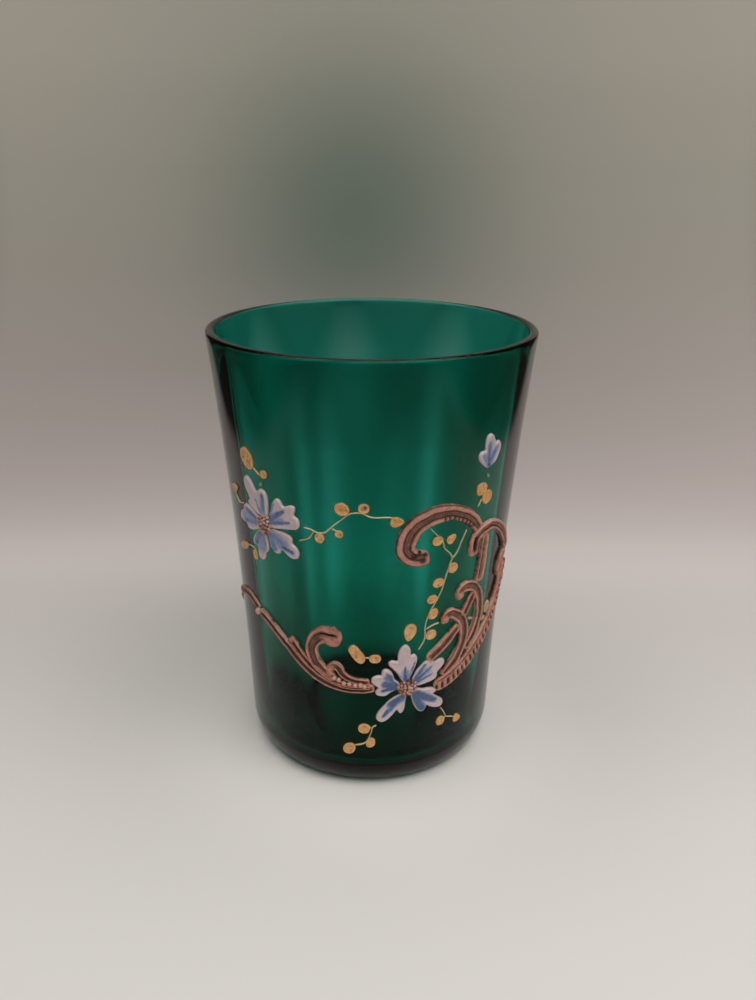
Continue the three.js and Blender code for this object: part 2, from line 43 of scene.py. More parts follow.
# The glass, in millimetres: the same driving dimensions as its CAD solid
HEIGHT = 100.0
RIM_RADIUS = 35.7
FOOT_RADIUS = 29.25
HEEL_REACH = 4.9
HEEL_RISE = 8.3
WAIST = 0.89
LIP_ROUND = 0.8
RIM_WALL = 2.1
RIDGE_WALL = 2.35
FOOT_WALL = 2.7
FLOOR_HEIGHT = 3.4
FLOOR_DIP = 0.3
FLOOR_CORNER = 5.0
UNDERSIDE_RADIUS = 18.0
UNDERSIDE_RISE = 1.0
PANELS = 9
PANEL_DEPTH = 1.1
PANEL_SOFTNESS = 0.07
PANEL_DRIFT = math.radians(7.5)
PANEL_DRIFT_FROM = math.radians(50)
PANEL_DRIFT_REST = 0.6
ARCH_FOOT = 82.0
ARCH_TOP = 98.5
ARCH_TILT = 3.0
PANEL_LOW_END = 11.0
PANEL_LOW_FULL = 30.0

# Points of the glass's mesh: round it, up its wall and along the shorter stretches
AROUND = 252
WALL_RINGS = 70
UNDERSIDE_RINGS = 12
FOOT_RINGS = 5
HEEL_RINGS = 20
ROUND_RINGS = 14

# The camera of the photograph, in millimetres and radians
CAMERA_PLACE = (1.607, -194.64, 136.14)
CAMERA_PITCH = 0.3773
CAMERA_ROLL = 0.0079
CAMERA_LENS = 32.33
CAMERA_SENSOR = 36.0
CAMERA_NEAR = 10.0


def smoothstep(x, low, high):
    t = np.clip((np.asarray(x, float) - low) / (high - low), 0, 1)
    return t * t * (3 - 2 * t)


def wall_radius(z):
    """Radius of the outer wall: a taper that bows in at the waist, above an oval heel."""
    z = np.asarray(z, float)
    rise = (z - HEEL_RISE) / (HEIGHT - LIP_ROUND - HEEL_RISE)
    wall = FOOT_RADIUS + (RIM_RADIUS - FOOT_RADIUS) * rise - 4 * WAIST * rise * (1 - rise)
    drop = np.clip(1 - z / HEEL_RISE, 0, 1)
    heel = FOOT_RADIUS - HEEL_REACH * (1 - np.sqrt(1 - drop**2))
    return np.where(z < HEEL_RISE, heel, wall)


def wall_thickness(z):
    z = np.asarray(z, float)
    ridge = FOOT_WALL + (RIDGE_WALL - FOOT_WALL) * smoothstep(z, FLOOR_HEIGHT, HEIGHT / 3)
    return ridge + (RIM_WALL - RIDGE_WALL) * smoothstep(z, ARCH_FOOT, HEIGHT)


def flute(angle, z):
    """How far an optic panel is sunk into the inner wall: a round-ended hollow between two ridges."""
    drift = PANEL_DRIFT * (PANEL_DRIFT_REST - np.cos(angle - PANEL_DRIFT_FROM))
    across = (1 - np.cos(PANELS * (angle - drift))) / 2
    tilt = ARCH_TILT * (1 - np.cos(angle))
    top = np.clip((z - ARCH_FOOT - tilt) / (ARCH_TOP - ARCH_FOOT), 0, None)
    low = np.clip((PANEL_LOW_FULL - z) / (PANEL_LOW_FULL - PANEL_LOW_END), 0, None) ** 2
    sunk = np.clip(across - top - low, 0, None)
    return PANEL_DEPTH * (1 + PANEL_SOFTNESS) * sunk**2 / (sunk + PANEL_SOFTNESS)


def outer_profile():
    """Outside of the glass, from the middle of the hollow underside up to the lip."""
    share = np.linspace(0, 1, UNDERSIDE_RINGS)
    points = [(UNDERSIDE_RADIUS * s, UNDERSIDE_RISE * (1 - s * s)) for s in share]
    points += [(r, 0.0) for r in np.linspace(UNDERSIDE_RADIUS, FOOT_RADIUS - HEEL_REACH, FOOT_RINGS)[1:-1]]
    for turn in np.linspace(0, math.pi / 2, HEEL_RINGS)[:-1]:
        points.append((FOOT_RADIUS - HEEL_REACH * (1 - math.sin(turn)), HEEL_RISE * (1 - math.cos(turn))))
    for z in np.linspace(HEEL_RISE, HEIGHT - LIP_ROUND, WALL_RINGS):
        points.append((float(wall_radius(z)), z))
    return points


def lip_profile():
    """The fire-polished lip, a half round over the thickness of the wall."""
    middle = RIM_RADIUS - RIM_WALL / 2
    shoulder = HEIGHT - LIP_ROUND
    turns = np.linspace(0, math.pi, ROUND_RINGS)[1:-1]
    return [(middle + RIM_WALL / 2 * math.cos(t), shoulder + LIP_ROUND * math.sin(t)) for t in turns]


def inner_profile():
    """Inside of the glass, from the lip down to the middle of the floor."""
    low = FLOOR_HEIGHT + FLOOR_CORNER
    heights = np.linspace(HEIGHT - LIP_ROUND, low, WALL_RINGS)
    points = [(float(wall_radius(z) - wall_thickness(z)), z) for z in heights]
    corner = float(wall_radius(low) - wall_thickness(low)) - FLOOR_CORNER
    for turn in np.linspace(0, math.pi / 2, ROUND_RINGS)[1:]:
        points.append((corner + FLOOR_CORNER * math.cos(turn), low - FLOOR_CORNER * math.sin(turn)))
    for share in np.linspace(1, 0, ROUND_RINGS)[1:]:
        points.append((corner * share, FLOOR_HEIGHT - FLOOR_DIP * (1 - share * share)))
    return points


def new_object(name, data):
    thing = bpy.data.objects.new(name, data)
    scene.collection.objects.link(thing)
    return thing


def new_mesh(name, points, faces, material):
    """A smooth-shaded mesh object from points in millimetres."""
    mesh = bpy.data.meshes.new(name)
    mesh.from_pydata((np.asarray(points, float) * MM).tolist(), [], faces)
    mesh.validate()
    mesh.polygons.foreach_set("use_smooth", [True] * len(mesh.polygons))
    mesh.materials.append(material)
    return new_object(name, mesh)


def paint_points(piece, layer_name, colours):
    """Store a colour for each point of a piece."""
    layer = piece.data.color_attributes.new(layer_name, "FLOAT_COLOR", "POINT")
    values = np.ones((len(colours), 4))
    values[:, :3] = colours
    layer.data.foreach_set("color", values.ravel())


def glass_mesh(material):
    """The glass as one closed skin: its profile turned round, with the panels sunk inside."""
    outer, lip, inner = outer_profile(), lip_profile(), inner_profile()
    profile = np.array(outer + lip + inner)
    first_inner = len(outer) + len(lip)
    angles = np.arange(AROUND) / AROUND * 2 * math.pi
    rings = profile[1:-1]
    radii = np.repeat(rings[:, :1], AROUND, axis=1)
    inside = np.arange(1, len(profile) - 1) >= first_inner
    radii[inside] += flute(angles[None, :], rings[inside][:, 1:2])
    points = np.stack([radii * np.sin(angles), -radii * np.cos(angles),
                       np.repeat(rings[:, 1:2], AROUND, axis=1)], axis=-1).reshape(-1, 3)
    low, high = len(points), len(points) + 1
    points = np.vstack([points, [0, 0, profile[0, 1]], [0, 0, profile[-1, 1]]])
    faces = []
    last = (len(rings) - 1) * AROUND
    for k in range(AROUND):
        n = (k + 1) % AROUND
        faces.append((low, n, k))
        faces.append((high, last + k, last + n))
        for ring in range(len(rings) - 1):
            here, there = ring * AROUND, (ring + 1) * AROUND
            faces.append((here + k, here + n, there + n, there + k))
    return new_mesh("green_glass", points, faces, material)


def node_material(name):
    """A new material, with its node tree and its shader."""
    material = bpy.data.materials.new(name)
    material.use_nodes = True
    tree = material.node_tree
    shader = tree.nodes["Principled BSDF"]
    return material, tree, shader


def set_inputs(node, values):
    for socket, value in values.items():
        node.inputs[socket].default_value = value


def glass_material():
    """Clear glass whose green comes from the thickness that light passes through."""
    material, tree, shader = node_material("green_glass")
    set_inputs(shader, {"Base Color": (1, 1, 1, 1), "Roughness": 0.01, "IOR": 1.5,
                        "Transmission Weight": 1.0, "Specular Tint": (0.12, 0.12, 0.12, 1)})
    volume = tree.nodes.new("ShaderNodeVolumeAbsorption")
    set_inputs(volume, {"Color": (0.0, 0.75, 0.685, 1), "Density": 1550.0})
    tree.links.new(volume.outputs["Volume"], tree.nodes["Material Output"].inputs["Volume"])
    return material


# The paper sweep, in millimetres: its flat floor and the radius that turns it up
SWEEP_FLAT = 110.0
SWEEP_CURVE = 150.0
# Its points along it and across it: from, to and how many
SWEEP_ROWS = ((-900, -200, 8), (-180, 480, 133), (500, 900, 8))
SWEEP_COLUMNS = ((-900, -500, 2), (-300, 300, 101), (500, 900, 2))
# Painted light and shade along the sweep: its brightness from the front edge of the picture to the top
SWEEP_LIGHT_AND_SHADE = (
    (-400, 0.35), (-150, 0.67), (-77, 0.683), (-40, 0.667), (0, 0.61), (20, 0.582), (45, 0.558),
    (65, 0.555), (84, 0.568), (105, 0.542), (126, 0.46), (145, 0.399), (162, 0.357), (193, 0.312),
    (221, 0.289), (250, 0.291), (273, 0.297), (295, 0.323), (320, 0.364), (345, 0.434), (370, 0.46),
    (900, 0.46))
# Painted light: how much brighter the right side is, for each millimetre across
SWEEP_SLOPES = ((-77, 0.0003), (-40, 0.00035), (0, 0.00022), (45, 0.00024), (84, 0.00024), (160, 0.00042),
                (221, 0.0004), (273, 0.0002), (345, -0.0001), (370, -0.0001))
SLOPE_REACH = 250
# Painted light: both sides of the backdrop are brighter, by the square of the distance across
EDGE_LIFT = 5.4e-6
EDGE_REACH = 170
EDGE_FROM = (90, 230)
# Tint of the paper along its length
SWEEP_WARM = ((-77, (1.05, 1.0, 0.95)), (0, (1.06, 1.0, 0.94)), (84, (1.1, 1.0, 0.95)),
              (160, (1.165, 1.0, 0.945)), (230, (1.12, 1.0, 0.9)), (300, (1.07, 1.0, 0.85)))
# Painted light: paler paper close to the foot, in place of the glass's shadow, and under it, in place of
# light that the glass gathers
NEAR_FOOT_PAINTED_LIGHT = 0.24
NEAR_FOOT_LIGHT_FADE = 14.0
UNDER_FOOT_PAINTED_LIGHT = 0.34
UNDER_FOOT_LIGHT_FADE = 8.0
# Outside the picture the paper is dark, to tone down its reflection in the glass
PAPER_HALF_WIDTH = (175, 215)
PAPER_SIDE_DARK = 0.9
# Painted shade: a soft dark patch on the paper above the glass: place, size, and depth in each colour
SHADE_PATCH_PLACE = (-10.0, 300.0)
SHADE_PATCH_SIZE = (48.0, 52.0)
SHADE_PATCH_DEPTH = (0.57, 0.44, 0.48)


def sweep_point(along):
    """A point (y, z) of the sweep, by its distance along the paper."""
    turn = np.clip((along - SWEEP_FLAT) / SWEEP_CURVE, 0, math.pi / 2)
    y = np.minimum(along, SWEEP_FLAT) + SWEEP_CURVE * np.sin(turn)
    rest = np.clip(along - SWEEP_FLAT - SWEEP_CURVE * math.pi / 2, 0, None)
    return y, SWEEP_CURVE * (1 - np.cos(turn)) + rest


def sweep_colour(x, along):
    """Colour of the paper, by the distance across it and along it, with its light and shade painted in."""
    # Painted light and shade: the tones along the sweep, a brighter right side and brighter sides of the
    # backdrop
    slope = np.interp(along, *zip(*SWEEP_SLOPES)) * np.clip(x, -SLOPE_REACH, SLOPE_REACH)
    lift = EDGE_LIFT * np.clip(x, -EDGE_REACH, EDGE_REACH) ** 2 * smoothstep(along, *EDGE_FROM)
    tone = np.interp(along, *zip(*SWEEP_LIGHT_AND_SHADE)) * (1 + slope + lift)
    # Painted light round the foot and under it
    near = np.hypot(x, along)
    near_foot_light = NEAR_FOOT_PAINTED_LIGHT * np.exp(-(np.clip(near - FOOT_RADIUS, 0, None) / NEAR_FOOT_LIGHT_FADE) ** 2 / 2)
    under_foot_light = UNDER_FOOT_PAINTED_LIGHT * (1 - smoothstep(near, FOOT_RADIUS - UNDER_FOOT_LIGHT_FADE, FOOT_RADIUS))
    tone = tone * (1 + near_foot_light + under_foot_light)
    tone = tone * (1 - PAPER_SIDE_DARK * smoothstep(np.abs(x), *PAPER_HALF_WIDTH))
    # Painted shade: a soft dark patch above the glass
    beside_it = (x - SHADE_PATCH_PLACE[0]) / SHADE_PATCH_SIZE[0]
    above_it = (along - SHADE_PATCH_PLACE[1]) / SHADE_PATCH_SIZE[1]
    spot = np.exp(-(beside_it**2 + above_it**2) / 2)
    warm_at, warm = zip(*SWEEP_WARM)
    channels = []
    for tint, depth in zip(zip(*warm), SHADE_PATCH_DEPTH):
        channels.append(tone * np.interp(along, warm_at, tint) * (1 - depth * spot))
    return np.stack(channels, -1)


def paper_material():
    """Matt paper in its painted tones of light and shade."""
    material, tree, shader = node_material("paper_sweep")
    set_inputs(shader, {"Roughness": 0.9, "Specular IOR Level": 0.1})
    tones = tree.nodes.new("ShaderNodeAttribute")
    tones.attribute_name = "tone"
    tree.links.new(tones.outputs["Color"], shader.inputs["Base Color"])
    return material


def make_stage():
    """A pale paper sweep: a floor that curves up into a backdrop behind the glass."""
    rows = np.concatenate([np.linspace(*span) for span in SWEEP_ROWS])
    columns = np.concatenate([np.linspace(*span) for span in SWEEP_COLUMNS])
    along, x = np.meshgrid(rows, columns, indexing="ij")
    y, z = sweep_point(along)
    points = np.stack([x, y, z], -1).reshape(-1, 3)
    wide = len(columns)
    faces = []
    for row in range(len(rows) - 1):
        for k in range(row * wide, (row + 1) * wide - 1):
            faces.append((k, k + 1, k + 1 + wide, k + wide))
    sweep = new_mesh("paper_sweep", points, faces, paper_material())
    paint_points(sweep, "tone", sweep_colour(x, along).reshape(-1, 3))


# Name, place, aim and size of each lamp, in metres, and its power in watts
LAMPS = (("front_lamp", (0.3, -0.45, 0.8), (0, 0, 0), (0.9, 0.5), 3.0),
         ("ceiling_lamp", (0, 0.05, 0.95), (0, 0.05, 0), (1.5, 1.2), 9.8))
ROOM_LIGHT = (0.15, 0.145, 0.14, 1)


def area_lamp(name, place, aim, size, power):
    light = bpy.data.lights.new(name, "AREA")
    light.shape = "RECTANGLE"
    light.size, light.size_y = size
    light.energy = power
    lamp = new_object(name, light)
    lamp.location = place
    direction = Vector(aim) - Vector(place)
    lamp.rotation_euler = direction.to_track_quat("-Z", "Y").to_euler()


def make_lights():
    for lamp in LAMPS:
        area_lamp(*lamp)
    world = bpy.data.worlds.new("room")
    world.use_nodes = True
    set_inputs(world.node_tree.nodes["Background"], {"Color": ROOM_LIGHT})
    scene.world = world


def make_camera():
    data = bpy.data.cameras.new("photo_camera")
    data.lens = CAMERA_LENS
    data.sensor_width = CAMERA_SENSOR
    data.clip_start = CAMERA_NEAR * MM
    camera = new_object("photo_camera", data)
    tilt = Matrix.Rotation(math.pi / 2 - CAMERA_PITCH, 4, "X") @ Matrix.Rotation(CAMERA_ROLL, 4, "Z")
    camera.matrix_world = Matrix.Translation(Vector(CAMERA_PLACE) * MM) @ tilt
    scene.camera = camera


def put(piece, slot, *nodes):
    """The piece rides on the one body and stands for the CAD nodes, which it hides; the slot is not used."""
    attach(piece, "root")
    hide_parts(*nodes)


# The enamel is laid out in millimetres on the unrolled wall: u runs to the right from the front, at
# the mean radius, and z up from a base line just below the foot
MEAN_RADIUS = 32.0
BASE_LINE = -0.42
# How far the enamel's underside is sunk into the glass
SINK = 0.05
# Heights above the wall, and the sizes that repeat along it
SCROLL_HEIGHT = 0.88
TAIL_HEIGHT = 0.45
ROPE_HEIGHT = 1.0
PETAL_HEIGHT = 0.6
CENTRE_HEIGHT = 0.75
BEAD_HEIGHT = 1.15
LEAF_HEIGHT = 0.45
STEM_HEIGHT = 0.30
STEM_WIDTH = 0.30
ROPE_PITCH = 1.5
ROPE_LEAN = 0.12
PIT_PITCH = 1.25
BEAD_SIZE = 0.6
GRANULES = 23
GRANULE_SIZES = (0.33, 0.52)
GOLDEN_TURN = math.pi * (3 - math.sqrt(5))

# Points of a petal: round it, from its heart to its edge, and where the first ring lies
PETAL_POINTS = 110
PETAL_RINGS = 20
FIRST_RING = 0.08
# Points of a curve from knot to knot, and cells of the table behind the grain
CURVE_STEPS = 24
GRAIN_CELLS = 64

# A stroke's wobbling edges, how much of a turn's radius it may fill, how its points crowd towards
# its edges, and the square of the width that is left at its tip
EDGE_WOBBLE = 0.10
TURN_ROOM = 0.92
EDGE_CROWD = 1.25
BLUNT_TIP = 0.0004
# Its round ends close, by the distance in widths, to one plain height and tone
END_REACH = (0.12, 0.55)
END_CREST = 0.9
END_TONE = 2.1
# Depths of notches and pits, and how far both fall in tone
NOTCH_DEPTH = 0.65
PIT_DEPTH = 0.6
CUT_TONE = 3.2

# Painted shade: left of the front the scrolls' tone is lowered, so more brown shows and the copper comes out
# darker
LEFT_PAINTED_SHADE = 0.3
LEFT_SHADE_FROM = (-2, 6)
# Grain of the scrolls' paint, and how far it breaks up the tone
COARSE_GRAIN = 0.8
FINE_GRAIN = 0.2
COARSE_BREAK = 0.7
FINE_BREAK = 0.55

# Colours of the fired enamel, linear: a scroll's tones run from its darkest line to its palest ridge
SCROLL_TONES = ((0.06, 0.015, 0.009), (0.21, 0.09, 0.05), (0.58, 0.25, 0.17), (0.75, 0.39, 0.285))
FRINGE = (0.68, 0.43, 0.32)
WHITE = (0.70, 0.54, 0.54)
LAVENDER = (0.24, 0.30, 0.49)
BLUE = (0.055, 0.11, 0.23)
GOLD = (0.80, 0.38, 0.10)
GOLD_PALE = (0.84, 0.50, 0.22)
GOLD_EDGE = (0.34, 0.13, 0.035)
CREAM = (0.56, 0.42, 0.29)
STEM = (0.68, 0.58, 0.33)
PALE_GREEN = (0.30, 0.42, 0.24)
RUST = (0.24, 0.07, 0.02)
CENTRE_GROUND = (0.07, 0.016, 0.009)
GRANULE = (0.40, 0.17, 0.11)
GRANULE_ORANGE = (0.55, 0.24, 0.10)
GRANULE_PALE = (0.80, 0.54, 0.46)

# Finish of each enamel: roughness, depth and fineness of its speckle, and clear coat
ENAMELS = {
    "pink_enamel": (0.5, 0.35, 2600, 0.0),
    "flower_enamel": (0.32, 0.10, 1500, 0.2),
    "centre_enamel": (0.45, 0.35, 3200, 0.0),
    "gold_enamel": (0.4, 0.25, 2200, 0.1),
}


def on_wall(u, z, height):
    """Points a height above the outer wall, from places in the drawing."""
    angle = np.asarray(u, float) / MEAN_RADIUS
    up = np.asarray(z, float) + BASE_LINE
    radius = wall_radius(up) + height
    return np.stack([radius * np.sin(angle), -radius * np.cos(angle), up], -1)


def grain(u, z, size, seed):
    """Smooth random values from 0 to 1 over the wall, in grains of one size."""
    table = np.random.default_rng(seed).random((GRAIN_CELLS, GRAIN_CELLS))
    x, y = np.asarray(u, float) / size, np.asarray(z, float) / size
    i, j = np.floor(x).astype(int), np.floor(y).astype(int)
    across, up = smoothstep(x - i, 0, 1), smoothstep(y - j, 0, 1)
    here, right = i % GRAIN_CELLS, (i + 1) % GRAIN_CELLS
    bottom, top = j % GRAIN_CELLS, (j + 1) % GRAIN_CELLS
    low = table[here, bottom] * (1 - across) + table[right, bottom] * across
    high = table[here, top] * (1 - across) + table[right, top] * across
    return low * (1 - up) + high * up


def uneven(depth, u, z, size, seed):
    """Grain that swings to both sides of 0, by half a depth each way."""
    return depth * (grain(u, z, size, seed) - 0.5)


def toward(first, second, share):
    return first + (second - first) * share


def blend(first, second, share):
    """Colours between two colours or fields of colours, by a share for each point."""
    share = np.asarray(share, float)[..., None]
    return np.asarray(first, float) * (1 - share) + np.asarray(second, float) * share


def bell(x, middle, width):
    """1 at the middle, falling off smoothly to both sides."""
    return np.exp(-((x - middle) / width) ** 2)


def between(first, second, start, end, at):
    """A point on the line through two points, which are passed at a start and an end."""
    return ((end - at) * first + (at - start) * second) / (end - start)


def curve_through(knots):
    """Dense points on a centripetal curve through all the knots but the first and the last."""
    dense = []
    for k in range(len(knots) - 3):
        p = knots[k:k + 4]
        t = np.concatenate([[0], np.cumsum(np.sqrt(np.linalg.norm(np.diff(p, axis=0), axis=1)))])
        at = np.linspace(t[1], t[2], CURVE_STEPS, endpoint=False)[:, None]
        one, two, three = (between(p[n], p[n + 1], t[n], t[n + 1], at) for n in range(3))
        early = between(one, two, t[0], t[2], at)
        late = between(two, three, t[1], t[3], at)
        dense.append(between(early, late, t[1], t[2], at))
    return np.vstack(dense + [knots[-2:-1]])


def spread_evenly(dense, count):
    """Points evenly spaced along a dense line, and their distances from its start."""
    gone = np.concatenate([[0], np.cumsum(np.linalg.norm(np.diff(dense, axis=0), axis=1))])
    distance = np.linspace(0, gone[-1], count)
    return np.stack([np.interp(distance, gone, dense[:, k]) for k in range(2)], -1), distance


def smooth_route(route, step):
    """Evenly spaced points on a smooth route, their directions and their distances."""
    knots = np.array(route, float)
    dense = curve_through(np.vstack([2 * knots[0] - knots[1], knots, 2 * knots[-1] - knots[-2]]))
    length = np.linalg.norm(np.diff(dense, axis=0), axis=1).sum()
    path, distance = spread_evenly(dense, max(6, round(length / step)))
    along = np.gradient(path, distance, axis=0)
    return path, along / np.linalg.norm(along, axis=1)[:, None], distance


def freehand_outline(corners, count):
    """Evenly spaced points round a smooth closed outline, anticlockwise."""
    knots = np.array(corners, float)
    following = np.roll(knots, -1, axis=0)
    if np.sum(knots[:, 0] * following[:, 1] - following[:, 0] * knots[:, 1]) < 0:
        knots = knots[::-1]
    return spread_evenly(curve_through(np.vstack([knots[-1:], knots, knots[:2]])), count + 1)[0][:-1]


def closed_skin(u, z, height, first, last):
    """A closed skin on the wall: rings of points, with one more point (u, z, height) at each end."""
    rings, count = u.shape
    places = [np.append(grid.ravel(), ends) for grid, *ends in zip((u, z, height), first, last)]
    start, finish = rings * count, rings * count + 1
    top = (rings - 1) * count
    faces = []
    for k in range(count):
        n = (k + 1) % count
        faces.append((start, k, n))
        faces.append((finish, top + n, top + k))
        for here in range(0, top, count):
            faces.append((here + k, here + count + k, here + count + n, here + n))
    return on_wall(*places), faces


def sheet(u, z, height, colour, first, last):
    """A stroke and its colours: rows of points across it and two ends, closed underneath."""
    height[:, 0] = height[:, -1] = -SINK
    lift = np.hstack([height, np.full((len(u), 1), -SINK)])
    all_u = np.hstack([u, u.mean(1, keepdims=True)])
    all_z = np.hstack([z, z.mean(1, keepdims=True)])
    points, faces = closed_skin(all_u, all_z, lift, (*first, -SINK), (*last, -SINK))
    paint = np.hstack([colour, colour[:, -1:]]).reshape(-1, 3)
    return points, faces, np.vstack([paint, colour[0, 0], colour[-1, -1]])


def disc(u, z, height, colour):
    """A patch and its colours: points (angles by rings) round a middle, closed underneath."""
    middle = u[:, 0].mean(), z[:, 0].mean()
    points, faces = closed_skin(u.T, z.T, height.T, (*middle, height[:, 0].mean()), (*middle, -SINK))
    paint = colour.swapaxes(0, 1).reshape(-1, 3)
    return points, faces, np.vstack([paint, colour[:, 0].mean(0), colour[:, -1].mean(0)])


def rounding(gone, end):
    """How wide a round-ended stroke is at a distance from its end."""
    return np.sqrt(np.clip(1 - np.clip(1 - gone / end, 0, 1) ** 2, BLUNT_TIP, 1))


def mirrored(*half):
    """A whole cross-section from its left half, which ends in the middle."""
    return half + tuple((-place, height, tone) for place, height, tone in half[-2::-1])


# Cross-sections of a scroll, from its left edge to its right: (place, height, tone)
TWIN = mirrored(
    (-1, 0.2, 0.4), (-0.93, 0.6, 1.8), (-0.74, 1, 2.4), (-0.56, 0.85, 1.8), (-0.42, 0.4, 0),
    (-0.2, 0.36, 0.6), (0, 0.4, 1.2))
TRIPLE = (
    (-1, 0.2, 0), (-0.86, 0.5, 0.3), (-0.74, 0.95, 2.1), (-0.5, 0.9, 2.2), (-0.34, 0.4, -0.4),
    (-0.14, 0.4, -0.3), (0, 0.75, 1.6), (0.2, 0.6, 1.3), (0.34, 0.5, 0.5), (0.5, 0.9, 2.1),
    (0.8, 0.95, 2.8), (0.93, 0.6, 2.3), (1, 0.2, 1))
SINGLE = mirrored((-1, 0.2, 0.4), (-0.9, 0.6, 1.6), (-0.5, 0.95, 2.1), (0, 1, 2.4))
# A crook's outer ridge is broad; brown stripes and a thin inner ridge follow it
CROOK = (
    (-1, 0.2, 1.4), (-0.95, 0.5, 0), (-0.88, 0.6, 0), (-0.8, 0.9, 1.9), (-0.6, 1, 2.4),
    (-0.34, 0.9, 2), (-0.22, 0.4, -0.2), (-0.12, 0.45, 0.5), (-0.02, 0.5, 1.4), (0.1, 0.42, 0.5),
    (0.22, 0.5, 1.4), (0.34, 0.42, 0.4), (0.44, 0.46, -0.1), (0.56, 0.9, 1.9), (0.7, 1, 2.3),
    (0.86, 0.8, 2), (0.94, 0.5, 0.2), (1, 0.2, 0.8))
HOOK = (
    (-1, 0.2, 0), (-0.92, 0.6, 1), (-0.76, 1, 2.4), (-0.5, 0.95, 2.1), (-0.32, 0.45, 0.3),
    (-0.14, 0.5, 1.3), (0.06, 0.42, 0.8), (0.26, 0.45, 1.1), (0.42, 0.4, -0.3), (0.52, 0.5, 0.2),
    (0.66, 0.9, 2.1), (0.82, 1, 2.7), (0.94, 0.6, 2), (1, 0.2, 0.6))
STALK = (
    (-1, 0.2, 0), (-0.88, 0.6, 0.8), (-0.66, 0.9, 2.2), (-0.44, 0.8, 1.6), (-0.3, 0.35, -0.6),
    (-0.12, 0.35, -0.5), (0.04, 0.7, 1.4), (0.24, 0.6, 0.9), (0.4, 0.8, 1.8), (0.72, 1, 2.9),
    (0.92, 0.6, 2.6), (1, 0.2, 1.2))
SLIT_HEAD = (
    (-1, 0.2, 0.2), (-0.9, 0.7, 1.6), (-0.6, 0.95, 2.2), (-0.36, 0.85, 1.6), (-0.28, 0.2, -0.9),
    (-0.14, 0.2, -0.9), (-0.04, 0.9, 1.7), (0.3, 1, 2.2), (0.7, 0.95, 2.2), (0.9, 0.6, 1.6),
    (1, 0.2, 0.4))
ROPE = (
    (-1, 0.25, 1.2), (-0.93, 0.75, 2.3), (-0.82, 0.9, 2.6), (-0.6, 0.85, 2), (0, 0.95, 2.2),
    (0.46, 0.9, 2), (0.6, 0.5, 0), (0.7, 0.5, 0), (0.82, 0.9, 2.4), (0.95, 0.6, 1.9),
    (1, 0.2, 0.6))


def section_at(section, side):
    """Height and tone across a scroll."""
    place, height, tone = np.array(section, float).T
    return np.interp(side, place, height), np.interp(side, place, tone)


def scroll_paint(u, z, tone, side, seed):
    """Brown and copper pink by tone, broken up by grain and darkened by painted shade left of the front, with
    a worn cream fringe along the edges.
    """
    coarse, fine = grain(u, z, COARSE_GRAIN, seed), grain(u, z, FINE_GRAIN, seed + 1)
    tone = tone + COARSE_BREAK * (coarse - 0.5) + FINE_BREAK * (fine - 0.5)
    # Painted shade on the scrolls left of the front
    tone = tone - LEFT_PAINTED_SHADE * smoothstep(-u, *LEFT_SHADE_FROM)
    scale = np.arange(len(SCROLL_TONES))
    colour = np.stack([np.interp(tone, scale, channel) for channel in np.array(SCROLL_TONES).T], -1)
    patchy = smoothstep(grain(u, z, 2.4, seed + 2) + 0.4 * (fine - 0.5), 0.3, 0.6)
    fringe = smoothstep(np.abs(side), 0.91, 0.97) * patchy
    return blend(colour, FRINGE, 0.8 * fringe)


def beside(path, along, offset):
    """Places beside a path, by their distance to its left."""
    return path[:, :1] - along[:, 1:] * offset, path[:, 1:] + along[:, :1] * offset


def rope_notches(s, side, half, seed):
    """Leaning notches across a band, from its left ridge to past its middle."""
    phase = ((s - ROPE_LEAN * side * half) / ROPE_PITCH + uneven(0.35, s, 0 * s, 2.3, seed)) % 1
    reach = smoothstep(side, -0.94, -0.74) * (1 - smoothstep(side, -0.2, 0.55))
    return bell(2 * phase - 1, 0, 0.38) * reach


def row_of_pits(s, side, place, first, last):
    """Pits in a row along a stroke, at a place across it, from a first distance to a last one."""
    pits = bell(2 * (s / PIT_PITCH % 1) - 1, 0, 0.5) * bell(side, place, 0.27)
    return pits * smoothstep(s, first, first + 0.5) * (1 - smoothstep(s, last - 0.5, last))


